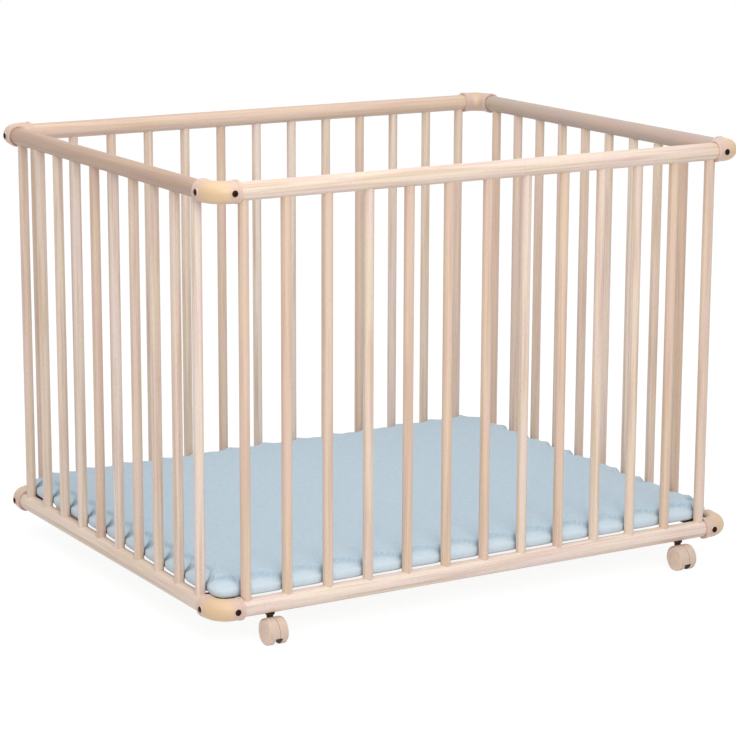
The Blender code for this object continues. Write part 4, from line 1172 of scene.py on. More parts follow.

# %% [markdown]
# A wheel is a turned shape. It is dished on its outer face, with a fine ring round the hub, and bored from
# the inner face for the axle. Its tread is marked as rubbed and its inner flank for painted shade, for the
# finish to read.

# %% Wheel
DISH, RING_FLOOR = 0.8 * MM, 1.1 * MM  # below the rim's face
BORE_FLOOR = 2.2 * MM
half = WHEEL_WIDTH / 2
wheel_profile = eased(
    [
        (0.3 * MM, half - DISH),
        (5.4 * MM, half - DISH),
        (5.6 * MM, half - RING_FLOOR),
        (6.2 * MM, half - RING_FLOOR),
        (6.4 * MM, half - DISH),
        (14.8 * MM, half - DISH),
        (16.4 * MM, half),
        (WHEEL_RADIUS, half),
        (WHEEL_RADIUS, -half),
        (AXLE_RADIUS + GAP, -half),
        (AXLE_RADIUS + GAP, half - BORE_FLOOR),
        (0.3 * MM, half - BORE_FLOOR),
    ],
    (0, 0.1, 0.1, 0.1, 0.1, 1.2, 1.2, 1.2, 0.6, 0, 0, 0),
)
wheel = turned("wheel", wheel_profile, 72)
TREAD_FROM = 19 * MM  # the rubbed tread starts here and is full 1 mm further out
from_axle = np.hypot(*point_places(wheel)[:, :2].T)
fill(wheel, "rubbed", "FLOAT", "POINT", np.clip((from_axle - TREAD_FROM) / MM, 0, 1))
middles, normals = faces_of(wheel)
flank = (normals[:, 2] < -0.5) & (np.hypot(middles[:, 0], middles[:, 1]) < WHEEL_RADIUS - 0.7 * MM)
fill(wheel, "core", "FLOAT", "FACE", flank)
wheel.transform(Matrix.Rotation(QUARTER, 4, "Y"))
print("wheel:", len(wheel.polygons), "faces")

# %% [markdown]
# The stem is one turned piece: a pin that the hood swivels on, a tapered collar that bears against the rail,
# and a plug that sits in it. The axle is a plain pin with eased ends. Then the forms are turned out of the
# side view, and the parts of the hood that get painted shade are marked.

# %% Stem and axle
COLLAR_RIM, COLLAR_TAPER = 1.4 * MM, 2.0 * MM
stem_profile = eased(
    [
        (0.4 * MM, CASTOR_HEIGHT + PLUG_LENGTH),
        (PLUG_RADIUS, CASTOR_HEIGHT + PLUG_LENGTH),
        (PLUG_RADIUS, COLLAR_HIGH),
        (COLLAR_RADIUS, COLLAR_HIGH),
        (COLLAR_RADIUS, COLLAR_HIGH - COLLAR_RIM),
        (COLLAR_RADIUS - COLLAR_TAPER, COLLAR_LOW),
        (PIN_RADIUS, COLLAR_LOW),
        (PIN_RADIUS, PIN_FOOT_Z),
        (0.4 * MM, PIN_FOOT_Z),
    ],
    (0, 0.8, 0, 0.3, 0.4, 0.3, 0, 0.5, 0),
)
stem = turned("stem", stem_profile, 48)
axle_half = CASTOR_HALF - 2.5 * MM  # the axle ends inside the wheels
axle_profile = [
    (0.3 * MM, -axle_half),
    (AXLE_RADIUS, -axle_half),
    (AXLE_RADIUS, axle_half),
    (0.3 * MM, axle_half),
]
axle = turned("axle", eased(axle_profile, (0, 0.4, 0.4, 0)), 32)
axle.transform(Matrix.Rotation(QUARTER, 4, "Y"))
for form in (hood, braked_hood):
    mark_core(form)
    form.transform(AXLE_VIEW)
print("stem:", len(stem.polygons), "faces, axle:", len(axle.polygons), "faces")

# %% [markdown]
# Each castor is put together from the same forms. The stem is fixed to the pen. The hood and the axle
# swivel about it, so they share a body, and each wheel is a body of its own that spins on the axle.

# %% Four castors
def put_on_castor(form, node, how, body, material, slot, matrix):
    """One piece of a castor, named after its CAD node and the way it is made."""
    return put(form.copy(), f"{node}_{how}", body, [node], material, matrix)


for corner, sx, sy, _ in CORNERS:
    foot = Vector((SWIVEL[corner].x, SWIVEL[corner].y, 0))
    where = Matrix.Translation(foot)
    swivel = f"castor_{corner}"
    steel, plastic = (TURNED_STEEL, "castor_steel"), (HOOD_NYLON, "castor_plastic")
    put_on_castor(stem, f"castor_stem_{corner}", "turned", "pen", *steel, where)
    form = hood if sy < 0 else braked_hood
    put_on_castor(form, f"castor_hood_{corner}", "moulded", swivel, *plastic, where)
    at_axle = where @ Matrix.Translation(AXLE)
    put_on_castor(axle, f"castor_axle_{corner}", "turned", swivel, *steel, at_axle)
    for side in (-1, 1):
        which = "outer" if side == sx else "inner"
        body = f"wheel_{corner}_{which}"
        spot = upright(0 if side > 0 else math.pi, foot + AXLE + Vector((side * WHEEL_OFFSET, 0, 0)))
        put_on_castor(wheel, f"castor_{body}", "moulded", body, WHEEL_NYLON, "castor_plastic", spot)
    if sy > 0:
        pivot = foot + AXLE + Vector((0, -BRAKE_PIVOT[0], BRAKE_PIVOT[1]))
        at_pivot = Matrix.Translation(pivot)
        put_on_castor(lever, f"castor_brake_{corner}", "pressed", f"brake_{corner}", *steel, at_pivot)
print("castors:", len(CORNERS), "with", 2 * len(CORNERS), "wheels")

# %% [markdown]
# ## Floor brackets and panel
# A moulded bracket hugs the rails at each bottom corner and carries the floor panel. The CAD bracket
# already has the right shape, so a copy of its mesh is merged and its edges are given a small bevel, as on
# a moulding.

# %% Bracket nylon and the four brackets
BRACKET_NYLON, tree, shader = new_material("nylon_moulded_brown", 0.46, IOR=1.53)
place = add(tree, "ShaderNodeTexCoord").outputs["Object"]
clouds = add(tree, "ShaderNodeTexNoise", {"Vector": place, "Scale": 120.0, "Detail": 2.0})
ramp = add(tree, "ShaderNodeValToRGB", {"Fac": clouds.outputs["Fac"]})
brown = coloured(ramp, (0.3, "413125"), (0.7, "524033"))
tree.links.new(brown, shader.inputs["Base Color"])
skin = add(tree, "ShaderNodeTexNoise", {"Vector": place, "Scale": 1250.0, "Detail": 1.0})
bump = add(tree, "ShaderNodeBump", {"Height": skin.outputs["Fac"], "Strength": 0.2, "Distance": 0.05 * MM})
tree.links.new(bump.outputs[0], shader.inputs["Normal"])


FLAT_BELOW, EDGE_ABOVE = math.radians(1), math.radians(30)  # between two faces


def with_eased_edges(node, width):
    """A merged copy of a CAD piece's mesh with its edges bevelled."""
    work = bmesh.new()
    work.from_mesh(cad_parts[node].data)
    bmesh.ops.remove_doubles(work, verts=work.verts, dist=SAME_POINT)
    bmesh.ops.dissolve_limit(work, angle_limit=FLAT_BELOW, verts=work.verts, edges=work.edges)
    sharp = [e for e in work.edges if e.is_manifold and e.calc_face_angle() > EDGE_ABOVE]
    bmesh.ops.bevel(work, geom=sharp, offset=width, segments=2, affect="EDGES", clamp_overlap=True)
    return mesh_of(work, node)


for corner, *_ in CORNERS:
    node = f"floor_bracket_{corner}"
    form = with_eased_edges(node, 0.5 * MM)
    piece = put(form, f"{node}_moulded", "pen", [node], BRACKET_NYLON)
print("bracket:", len(piece.data.polygons), "faces")

# %% [markdown]
# The panel is 6 mm fibreboard. Its faces are sealed with a pale lacquer film, and its sawn edge shows the
# browner fibre. So it has two materials: one for the faces and one for the edge.

# %% Fibreboard
BOARD_FACE, tree, shader = new_material("fibreboard_lacquered_face", 0.45)
place = add(tree, "ShaderNodeTexCoord").outputs["Object"]
felted = {"Vector": place, "Scale": 260.0, "Detail": 4.0, "Roughness": 0.65}
fibres = add(tree, "ShaderNodeTexNoise", felted)
ramp = add(tree, "ShaderNodeValToRGB", {"Fac": fibres.outputs["Fac"]})
pale = coloured(ramp, (0.35, "D3C2AA"), (0.65, "DFCFB9"))
tree.links.new(pale, shader.inputs["Base Color"])

BOARD_EDGE, tree, shader = new_material("fibreboard_sawn_edge", 0.8)
place = add(tree, "ShaderNodeTexCoord").outputs["Object"]
layers = add(tree, "ShaderNodeMapping", {"Vector": place, "Scale": (120, 120, 1400)})
fibres = add(tree, "ShaderNodeTexNoise", {"Vector": layers.outputs[0], "Scale": 1.0, "Detail": 3.0})
ramp = add(tree, "ShaderNodeValToRGB", {"Fac": fibres.outputs["Fac"]})
sawn = coloured(ramp, (0.3, "93795C"), (0.7, "B0957A"))
tree.links.new(sawn, shader.inputs["Base Color"])
bump = add(tree, "ShaderNodeBump", {"Height": fibres.outputs["Fac"], "Strength": 0.4, "Distance": 0.1 * MM})
tree.links.new(bump.outputs[0], shader.inputs["Normal"])
print("fibreboard: face and edge,", len(tree.nodes), "nodes in the edge")

# %% [markdown]
# The board is a loft of four outlines. The first and the last are a little smaller, so the edges are eased.
# Faces that look up or down get the lacquer, and the others get the sawn edge.

# %% Floor panel
def round_rectangle(half_x, half_y, corner, steps=16):
    """The outline of a rectangle with rounded corners, anticlockwise."""
    outline = []
    for quarter, (sx, sy) in enumerate(((1, 1), (-1, 1), (-1, -1), (1, -1))):
        x, y = sx * (half_x - corner), sy * (half_y - corner)
        for angle in spread(quarter * QUARTER, QUARTER, steps):
            outline.append((x + corner * math.cos(angle), y + corner * math.sin(angle)))
    return outline


low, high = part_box("floor_panel")
BOARD_CORNER, BOARD_EASE = 30 * MM, 0.5 * MM
layers = ((low.z, BOARD_EASE), (low.z + BOARD_EASE, 0), (high.z - BOARD_EASE, 0), (high.z, BOARD_EASE))
outlines = [(z, round_rectangle(high.x - e, high.y - e, BOARD_CORNER - e)) for z, e in layers]
board = lofted("board", [[(*p, z) for p in outline] for z, outline in outlines])
board.materials.append(BOARD_FACE)
board.materials.append(BOARD_EDGE)
for face in board.polygons:
    face.material_index = 0 if abs(face.normal.z) > 0.9 else 1
put(board, "floor_panel_board", "pen", ["floor_panel"])
print("panel:", round(2 * high.x / MM), "x", round(2 * high.y / MM), "mm")

# %% [markdown]
# ## Play mat
# The mat is a thin wadded pad in a light blue cotton cover. It is cut a little full for the pen, so every
# bar presses a notch into its edge, and between two notches the edge swells into a lobe. A crease runs over
# each lobe from notch to notch. The pad is made as a grid that is finer near the edge and near each bar.
# Its creases are pressed in first and held, and then a cloth simulation blows the cover up between them, as
# wadding does.

# %% Woven cotton
# Plain weave, 0.5 mm from thread to thread, drawn at 1.5 mm so that it shows. The threads are slightly
# uneven, which gives soft flecks along both directions, and the nap gives a little sheen at grazing angles.
COTTON, tree, shader = new_material(
    "cotton_woven_light_blue", 0.85, Sheen_Weight=0.25, Sheen_Roughness=0.5, Specular_IOR_Level=0.25
)
cloth = add(tree, "ShaderNodeUVMap", uv_map="cloth").outputs[0]
THREAD = 1.5 * MM
threads = add(tree, "ShaderNodeSeparateXYZ", {0: cloth})
weave = []
for axis in ("X", "Y"):
    turns = add(tree, "ShaderNodeMath", {0: threads.outputs[axis], 1: math.pi / THREAD}, operation="MULTIPLY")
    weave.append(add(tree, "ShaderNodeMath", {0: turns.outputs[0]}, operation="SINE").outputs[0])
over_under = add(tree, "ShaderNodeMath", {0: weave[0], 1: weave[1]}, operation="MULTIPLY").outputs[0]
weft_place = add(tree, "ShaderNodeMapping", {"Vector": cloth, "Scale": (60, 900, 1)})
weft = add(tree, "ShaderNodeTexNoise", {"Vector": weft_place.outputs[0], "Scale": 1.0, "Detail": 2.0})
warp_place = add(tree, "ShaderNodeMapping", {"Vector": cloth, "Scale": (900, 60, 1)})
warp = add(tree, "ShaderNodeTexNoise", {"Vector": warp_place.outputs[0], "Scale": 1.0, "Detail": 2.0})
slubs = add(tree, "ShaderNodeMath", {0: weft.outputs["Fac"], 1: warp.outputs["Fac"]})
half_slubs = add(tree, "ShaderNodeMath", {0: slubs.outputs[0], 1: 0.5}, operation="MULTIPLY")
ramp = add(tree, "ShaderNodeValToRGB", {"Fac": half_slubs.outputs[0]})
dyed = coloured(ramp, (0.38, "B6CEDC"), (0.62, "C8DCE8"))
# Painted shade darkens the folds and the hollows at the bars, which the attribute `fold` tells.
fold_shade = add(tree, "ShaderNodeAttribute", attribute_name="fold").outputs["Fac"]
shaded = add(tree, "ShaderNodeMix", {0: fold_shade, 6: dyed, 7: linear("71899B")}, data_type="RGBA")
# Painted light: near the edge, over the lobes, the cover is painted paler, but not in the hollows at the
# bars. An attribute tells where.
lobe_light = add(tree, "ShaderNodeAttribute", attribute_name="painted_lobe_light").outputs["Fac"]
pale_share = add(tree, "ShaderNodeMath", {0: lobe_light, 1: 0.35}, operation="MULTIPLY")
paler = {0: pale_share.outputs[0], 6: shaded.outputs[2], 7: linear("E6EDF0")}
shaded = add(tree, "ShaderNodeMix", paler, data_type="RGBA")
tree.links.new(shaded.outputs[2], shader.inputs["Base Color"])
threads_and_slubs = {0: over_under, 1: 0.5, 2: half_slubs.outputs[0]}
relief = add(tree, "ShaderNodeMath", threads_and_slubs, operation="MULTIPLY_ADD")
bump = add(tree, "ShaderNodeBump", {"Height": relief.outputs[0], "Strength": 0.35, "Distance": 0.25 * MM})
tree.links.new(bump.outputs[0], shader.inputs["Normal"])
print("cotton:", len(tree.nodes), "nodes")

# %% [markdown]
# Every lobe lies between two bars, so the first thing to know is where along the edge each bar presses. The
# edge is measured as one way round the mat, from the left end of the front side, over all four corners.

# %% Where the mat's edge is pressed
MAT_LOW, MAT_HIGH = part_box("play_mat")
MAT_X, MAT_Y, MAT_CORNER = MAT_HIGH.x, MAT_HIGH.y, 45 * MM
ARC = QUARTER * MAT_CORNER
STRAIGHT_X, STRAIGHT_Y = 2 * (MAT_X - MAT_CORNER), 2 * (MAT_Y - MAT_CORNER)
ROUND = 2 * (STRAIGHT_X + STRAIGHT_Y) + 4 * ARC
# The way runs anticlockwise. Its corners are front right, back right, back left and front left.
CORNER_STARTS = (
    STRAIGHT_X,
    STRAIGHT_X + ARC + STRAIGHT_Y,
    2 * STRAIGHT_X + 2 * ARC + STRAIGHT_Y,
    ROUND - ARC,
)


def way_round(x, y):
    """How far round the edge the nearest point of the edge is, and the inset from it."""
    a = np.maximum(np.abs(x) - (MAT_X - MAT_CORNER), 0)
    b = np.maximum(np.abs(y) - (MAT_Y - MAT_CORNER), 0)
    in_corner = (a > 0) & (b > 0)
    angle = np.arctan2(b, a)  # from the X side towards the Y side of a corner
    right, back = x > 0, y > 0
    from_x, from_y = MAT_CORNER * angle, MAT_CORNER * (QUARTER - angle)
    ways = [start + further for start, further in zip(CORNER_STARTS, (from_y, from_x) * 2)]
    corner_way = np.select([right & ~back, right & back, ~right & back], ways[:3], ways[3])
    inset_x, inset_y = MAT_X - np.abs(x), MAT_Y - np.abs(y)
    along_x = inset_y < inset_x
    side_way = np.where(
        along_x,
        np.where(back, CORNER_STARTS[1] + ARC + STRAIGHT_X / 2 - x, x + STRAIGHT_X / 2),
        np.where(right, STRAIGHT_X + ARC + y + STRAIGHT_Y / 2, CORNER_STARTS[2] + ARC + STRAIGHT_Y / 2 - y),
    )
    inset = np.where(in_corner, MAT_CORNER - np.hypot(a, b), np.minimum(inset_x, inset_y))
    return np.where(in_corner, corner_way, side_way) % ROUND, inset


press_x = LONG_SIDE_BARS * 2 + [-MAT_X] * len(SHORT_SIDE_BARS) + [MAT_X] * len(SHORT_SIDE_BARS)
press_y = [-MAT_Y] * len(LONG_SIDE_BARS) + [MAT_Y] * len(LONG_SIDE_BARS) + SHORT_SIDE_BARS * 2
PRESSES = np.sort(way_round(np.array(press_x), np.array(press_y))[0])
print(len(PRESSES), "notches round", round(ROUND / MM), "mm of edge")

# %% [markdown]
# The pad's points lie where the shape needs them: close together at the edge and beside each bar, wide
# apart in the flat middle. The corners of this grid are then bent round on to the mat's rounded corners.

# %% The pad's grid
EDGE_TOP, EDGE_FOOT = 11 * MM, 5 * MM  # how far in the edge's rounding reaches, above and below
EDGE_LEVEL = 7.5 * MM  # height of the widest line above the mat's underside
edge_lines = [EDGE_TOP * (1 - math.cos(QUARTER * k / 6)) for k in range(7)]
edge_lines += [EDGE_TOP + step * MM for step in (2.5, 5, 7.5, 10, 12.5, 15, 18, 21, 25, 29, 33)]
BESIDE_BAR = (0, 3, 6, 10, 16, 25)  # mm from the bar's middle to each line, on both sides


def grid_lines(half, bars):
    """Lines across the pad: close at its edges and at each bar."""
    lines = [half - t for t in edge_lines] + [t - half for t in edge_lines]
    inner = half - edge_lines[-1] - 2.5 * MM
    wanted = [bar + side * step * MM for bar in bars for step in BESIDE_BAR for side in (-1, 1)]
    wanted += [(a + b) / 2 for a, b in zip(bars, bars[1:])]
    lines += sorted({round(p, 6) for p in wanted if abs(p) < inner})
    return np.array(sorted(lines))


lines_x, lines_y = grid_lines(MAT_X, LONG_SIDE_BARS), grid_lines(MAT_Y, SHORT_SIDE_BARS)
grid_x, grid_y = (m.ravel() for m in np.meshgrid(lines_x, lines_y, indexing="ij"))


def round_off(x, y):
    """Bends the corners of the square grid on to the mat's rounded corners."""
    a, b = np.abs(x) - (MAT_X - MAT_CORNER), np.abs(y) - (MAT_Y - MAT_CORNER)
    in_corner = (a > 0) & (b > 0)
    a, b = np.maximum(a, 1e-9), np.maximum(b, 1e-9)
    reach = np.maximum(a, b)
    angle = np.where(a >= b, QUARTER / 2 * b / a, QUARTER - QUARTER / 2 * a / b)
    new_x = np.sign(x) * (MAT_X - MAT_CORNER + reach * np.cos(angle))
    new_y = np.sign(y) * (MAT_Y - MAT_CORNER + reach * np.sin(angle))
    return np.where(in_corner, new_x, x), np.where(in_corner, new_y, y)


flat_x, flat_y = round_off(grid_x, grid_y)
way, inset_t = way_round(flat_x, flat_y)
inset_t = np.maximum(inset_t, 0)
print(len(lines_x), "x", len(lines_y), "lines")

# %% [markdown]
# A lobe is full in its middle and runs out at the bars, so each point is told its bay, the bars before and
# after it, and its share of the way between them. A few random numbers for each bay make the lobes differ,
# as wadding does. The corner bays have no bar in their middle: there the pad comes out and sags the most.

# %% Bays between the bars
LOBE_REACH = 4 * MM  # how far a lobe comes out between two bars
BAR_ROOM = 0.8 * MM  # left free round each bar
CREASE_REACH, CREASE_WIDTH = 25 * MM, 5 * MM
LOBE_DROP, END_DROP = 4.4 * MM, 8.0 * MM  # of a lobe's crown below the flat top, and more towards its ends
DROOP = 4.0 * MM  # of a lobe's foot over the panel's edge
# At the corners, in the order of CORNER_STARTS. The front left corner is pushed out and sags the most.
CORNER_REACHES = (4 * MM, 6 * MM, 6 * MM, 11 * MM)
CORNER_DROOPS = (4 * MM, 4 * MM, 4 * MM, 5 * MM)

following = np.searchsorted(PRESSES, way) % len(PRESSES)
after = (PRESSES[following] - way) % ROUND
before = (way - PRESSES[following - 1]) % ROUND
to_bar = np.minimum(before, after)
corner_bays = np.searchsorted(PRESSES, np.array(CORNER_STARTS) + ARC / 2) % len(PRESSES)
in_corner = [following == bay for bay in corner_bays]
lobe_draw = random.Random(5)
uneven = np.array([[lobe_draw.uniform(-1, 1) for _ in range(4)] for _ in PRESSES])[following].T
share = before / (before + after)
share = share + 0.05 * uneven[0] * np.sin(math.pi * share)
arch = np.clip(np.sin(math.pi * share), 0, 1) ** 0.75
print("corner bays:", [int(bay) for bay in corner_bays], "of", len(PRESSES))

# %% [markdown]
# Seen from above, the edge swells out between the bars and hugs each bar at a small distance. The two
# curves are blended by a soft minimum, so that a lobe meets its bar without a kink. Each point moves along
# the direction that leads straight out of the mat.

# %% The edge seen from above
corner_reach = [most * arch**3 for most in CORNER_REACHES]
reach = np.select(in_corner, corner_reach, LOBE_REACH * (1 + 0.2 * uneven[1]) * np.sqrt(arch))
hug = BAR_RADIUS + BAR_ROOM
round_bar = BAR_RADIUS + GAP - np.sqrt(np.maximum(hug**2 - to_bar**2, 0)) + 9 * np.maximum(to_bar - hug, 0)
SOFT = 0.8 * MM  # how softly the two curves run into each other
outwards = -SOFT * np.log(np.exp(-reach / SOFT) + np.exp(-np.minimum(round_bar, 0.1) / SOFT))

step = 0.1 * MM
inward = np.stack(
    [
        way_round(flat_x + step, flat_y)[1] - way_round(flat_x - step, flat_y)[1],
        way_round(flat_x, flat_y + step)[1] - way_round(flat_x, flat_y - step)[1],
    ]
) / (2 * step)
inward /= np.maximum(np.hypot(*inward), 1e-9)
FADE = 30 * MM  # the middle of the mat stays where it is
moved_out = outwards * (1 - np.clip(inset_t / FADE, 0, 1)) ** 2
pad_x, pad_y = flat_x - inward[0] * moved_out, flat_y - inward[1] * moved_out
lobe_mm, hollow_mm = (round(float(reach_m) / MM, 1) for reach_m in (outwards.max(), outwards.min()))
print("lobes stand out", lobe_mm, "mm, hollows", hollow_mm, "mm")

# %% [markdown]
# A section from the edge inwards climbs over the lobe's crown, dips into the crease, and climbs again to
# the flat top. Below, the edge is rounded off, and it sags a little over the edge of the panel.

# %% Lobes and creases
def smooth_step(x):
    """0 at 0, 1 from 1 on, level at both ends."""
    x = np.clip(x, 0, 1)
    return x * x * (3 - 2 * x)


def quarter_round(x):
    """0 at 0, 1 from 1 on, along a quarter of an ellipse."""
    return np.sqrt(1 - (1 - np.clip(x, 0, 1)) ** 2)


HEIGHT = MAT_HIGH.z - MAT_LOW.z - 1.5 * MM
crease_at = CREASE_REACH * arch * (1 + 0.12 * uneven[2])
crown = HEIGHT - LOBE_DROP * (1 + 0.2 * uneven[3]) - END_DROP * (1 - arch)
over_lobe = inset_t / np.maximum(crease_at, 3 * MM)
pillow = quarter_round(2 * over_lobe) - 0.2 * np.clip(2 * over_lobe - 1, 0, 1) ** 2
lobe_z = EDGE_LEVEL + (crown - EDGE_LEVEL) * pillow
flat_z = EDGE_LEVEL + (HEIGHT - EDGE_LEVEL) * quarter_round(inset_t / EDGE_TOP)
rise = smooth_step((inset_t - crease_at) / CREASE_WIDTH)
top_z = MAT_LOW.z + lobe_z * (1 - rise) + flat_z * rise
foot_z = MAT_LOW.z + EDGE_LEVEL * (1 - quarter_round(inset_t / EDGE_FOOT))
corner_middle = np.exp(-(((share - 0.5) / 0.2) ** 2))
corner_droop = [DROOP + (most - DROOP) * corner_middle for most in CORNER_DROOPS]
droop = np.select(in_corner, corner_droop, DROOP) * smooth_step((13.5 * MM - inset_t) / (9.5 * MM))
top_z, foot_z = top_z - 0.5 * droop, foot_z - droop

# The crease and the hollows at the bars, for the blowing up and for the painted shade and painted light of
# the finish.
crease = np.exp(-(((inset_t - crease_at - 0.4 * CREASE_WIDTH) / (0.55 * CREASE_WIDTH)) ** 2))
hollow = np.exp(-((to_bar / (7 * MM)) ** 2)) * np.exp(-((inset_t / (10 * MM)) ** 2))
fold_top = np.clip(0.38 * crease * (1.5 - 0.8 * arch) + 1.1 * hollow, 0, 1)
painted_lobe_light = np.exp(-((inset_t / (14 * MM)) ** 4)) * (1 - np.clip(1.1 * hollow, 0, 1))
print("creases lie up to", round(float(crease_at.max()) / MM, 1), "mm from the edge")

# %% [markdown]
# The top and the underside share the points of the edge, so the pad is one closed skin. Its UV map is
# measured along the cover, from the middle outwards and down over the edge, so the weave doesn't stretch
# there.

# %% The pad's mesh
nx, ny = len(lines_x), len(lines_y)
number = np.arange(nx * ny).reshape(nx, ny)
on_edge = np.zeros((nx, ny), bool)
on_edge[[0, -1], :] = on_edge[:, [0, -1]] = True
inner = ~on_edge.ravel()
below = number.ravel().copy()
below[inner] = nx * ny + np.arange(inner.sum())
below = below.reshape(nx, ny)
points = np.concatenate(
    [np.stack([pad_x, pad_y, top_z], 1), np.stack([pad_x, pad_y, foot_z], 1)[inner]]
)


def quads(grid):
    """The faces of a grid of point numbers."""
    return np.stack([grid[:-1, :-1], grid[1:, :-1], grid[1:, 1:], grid[:-1, 1:]], -1).reshape(-1, 4)


faces = np.concatenate([quads(number), quads(below)[:, ::-1]])
pad = bpy.data.meshes.new("play_mat")
pad.from_pydata(points.tolist(), [], faces.tolist())

# The cloth's own measure: length along the cover, so that the weave runs down over the edge.
heights = [(HEIGHT - EDGE_LEVEL) * math.sin(QUARTER * min(k, 6) / 6) for k in range(len(edge_lines))]
run = np.concatenate([[0], np.cumsum(np.hypot(np.diff(edge_lines), np.diff(heights)))])


def along_cover(lines, half):
    """Each line's distance from the middle, measured along the cover."""
    inset = half - np.abs(lines)
    near_edge = half - edge_lines[-1] + run[-1] - np.interp(inset, edge_lines, run)
    return np.sign(lines) * np.where(inset < edge_lines[-1], near_edge, np.abs(lines))


cover_lines = along_cover(lines_x, MAT_X), along_cover(lines_y, MAT_Y)
cover_x, cover_y = np.meshgrid(*cover_lines, indexing="ij")
cover = np.stack([cover_x.ravel(), cover_y.ravel()], 1)
cloth_uv = pad.uv_layers.new(name="cloth")
flat_faces = np.concatenate([quads(number), quads(number)[:, ::-1]])
cloth_uv.data.foreach_set("uv", cover[flat_faces.ravel()].astype(np.float32).ravel())
fold = np.concatenate([fold_top, 0.6 * hollow[inner]])
fill(pad, "fold", "FLOAT", "POINT", fold)
fill(pad, "painted_lobe_light", "FLOAT", "POINT", np.concatenate([painted_lobe_light, painted_lobe_light[inner]]))
print("pad:", len(points), "points,", len(faces), "faces")

# %% [markdown]
# The cover is held along the creases, in the notches and underneath, and 20 frames of pressure blow up the
# rest. How far a point may move is capped, so that the wide middle doesn't rise like a balloon.

# %% A cloth simulation
LAST_FRAME = 20


def blown_up(piece, held, most):
    """The piece's points after some frames of pressure, and their moves, each kept below its own `most`."""
    scene = bpy.context.scene
    group = piece.vertex_groups.new(name="held")
    for index in np.flatnonzero(held > 0.02):
        group.add([int(index)], float(held[index]), "REPLACE")
    start = np.array([v.co for v in piece.data.vertices])
    cloth = piece.modifiers.new("cloth", "CLOTH")
    cloth.settings.quality = 6
    cloth.settings.mass = 0.25
    cloth.settings.tension_stiffness = cloth.settings.compression_stiffness = 12
    cloth.settings.shear_stiffness = 4
    cloth.settings.bending_stiffness = 0.3
    cloth.settings.use_pressure = True
    cloth.settings.uniform_pressure_force = 4.0
    cloth.settings.effector_weights.gravity = 0.0
    cloth.settings.vertex_group_mass = "held"
    cloth.settings.pin_stiffness = 1.0
    cloth.collision_settings.use_collision = False
    cloth.point_cache.frame_start, cloth.point_cache.frame_end = 1, LAST_FRAME
    for frame_number in range(1, LAST_FRAME + 1):
        scene.frame_set(frame_number)
    seen = piece.evaluated_get(bpy.context.evaluated_depsgraph_get())
    moved = np.array([v.co for v in seen.data.vertices]) - start
    piece.modifiers.remove(cloth)
    piece.vertex_groups.remove(group)
    scene.frame_set(1)
    length = np.maximum(np.linalg.norm(moved, axis=1), 1e-9)
    most_mm, middle_mm = (round(float(move) / MM, 2) for move in (length.max(), np.median(length)))
    print("cloth moved", most_mm, "mm at most,", middle_mm, "mm in the median")
    kept = most * np.tanh(length / most)
    return start, moved * (kept / length)[:, None]


def smoothed(field):
    """A field of moves on the pad's grid, each averaged with its neighbours'."""
    for axis in (0, 1, 0, 1):
        first, last = np.take(field, [0], axis), np.take(field, [-1], axis)
        wide = np.concatenate([first, field, last], axis)
        count = field.shape[axis]
        before_it, it, after_it = (np.take(wide, np.arange(k, k + count), axis) for k in range(3))
        field = 0.25 * before_it + 0.5 * it + 0.25 * after_it
    return field

# %% [markdown]
# The simulation moves each point by itself. Its moves are averaged over the grid's neighbours before they
# are used, which leaves the soft swelling and drops the jitter.

# %% Blow up the pad
SWELL, MIDDLE_SWELL = 2.0 * MM, 1.2 * MM  # the most that a point of a lobe, or of the middle, may move
pad_piece = bpy.data.objects.new("play_mat_padded_cotton", pad)
bpy.context.scene.collection.objects.link(pad_piece)
held_top = np.maximum(crease * (inset_t > 2 * MM), 0.9 * hollow)
held = np.concatenate([held_top, np.ones(int(inner.sum()))])
near_edge = np.clip((45 * MM - inset_t) / (20 * MM), 0, 1)
most_top = MIDDLE_SWELL + (SWELL - MIDDLE_SWELL) * near_edge
most = np.concatenate([most_top, np.full(int(inner.sum()), MIDDLE_SWELL)])
final, moves = blown_up(pad_piece, held, most)
moves_above, moves_below = smoothed(moves[number]), smoothed(moves[below])
final[number.ravel()] += moves_above.reshape(-1, 3)
final[below.ravel()[inner]] += moves_below.reshape(-1, 3)[inner]
final[:, 2] = np.clip(final[:, 2], MAT_LOW.z - max(CORNER_DROOPS), MAT_HIGH.z + 1.5 * MM)
pad.vertices.foreach_set("co", final.astype(np.float32).ravel())
print("held:", int((held > 0.5).sum()), "of", len(held), "points")

# %% [markdown]
# Wrinkles come last. Short ones fan out from each notch, where the cover is gathered, and long soft waves
# run over the flat middle, where the wadding is uneven. Then one subdivision rounds everything off.

# %% Wrinkle the pad
WAVE_HEIGHT, FAN_HEIGHT = 0.45 * MM, 0.5 * MM
TURN = 6.3  # radians, a full turn near enough
wave = random.Random(12)


def drawn_wave():
    """Strength, direction (two numbers), phase and length of a long soft wave."""
    strength, x, y = wave.uniform(0.5, 1.0), wave.uniform(-1, 1), wave.uniform(-1, 1)
    return strength, x, y, wave.uniform(0, TURN), wave.uniform(60, 190) * MM


folds = [drawn_wave() for _ in range(14)]
co = np.array([v.co for v in pad.vertices])
normals = np.array([v.normal for v in pad.vertices])
waves = sum(a * np.sin((co[:, 0] * u + co[:, 1] * v) / length * TURN + p) for a, u, v, p, length in folds) / 4
underside = np.zeros(int(inner.sum()))
away = np.concatenate([inset_t, underside])
round_notch = np.arctan2(inset_t + 5 * MM, np.where(before < after, before, -after))
fade = np.exp(-np.hypot(to_bar, inset_t) / (14 * MM)) * np.clip(inset_t / (5 * MM), 0, 1)
fan = np.concatenate([np.sin(9 * round_notch) * fade, underside])
lift = WAVE_HEIGHT * waves * np.clip(away / (20 * MM), 0, 1) + FAN_HEIGHT * fan
co += normals * lift[:, None]
pad.vertices.foreach_set("co", co.astype(np.float32).ravel())
print("wrinkles lift up to", round(float(lift.max()) / MM, 2), "mm")

# %% [markdown]
# One level of subdivision rounds the grid off.

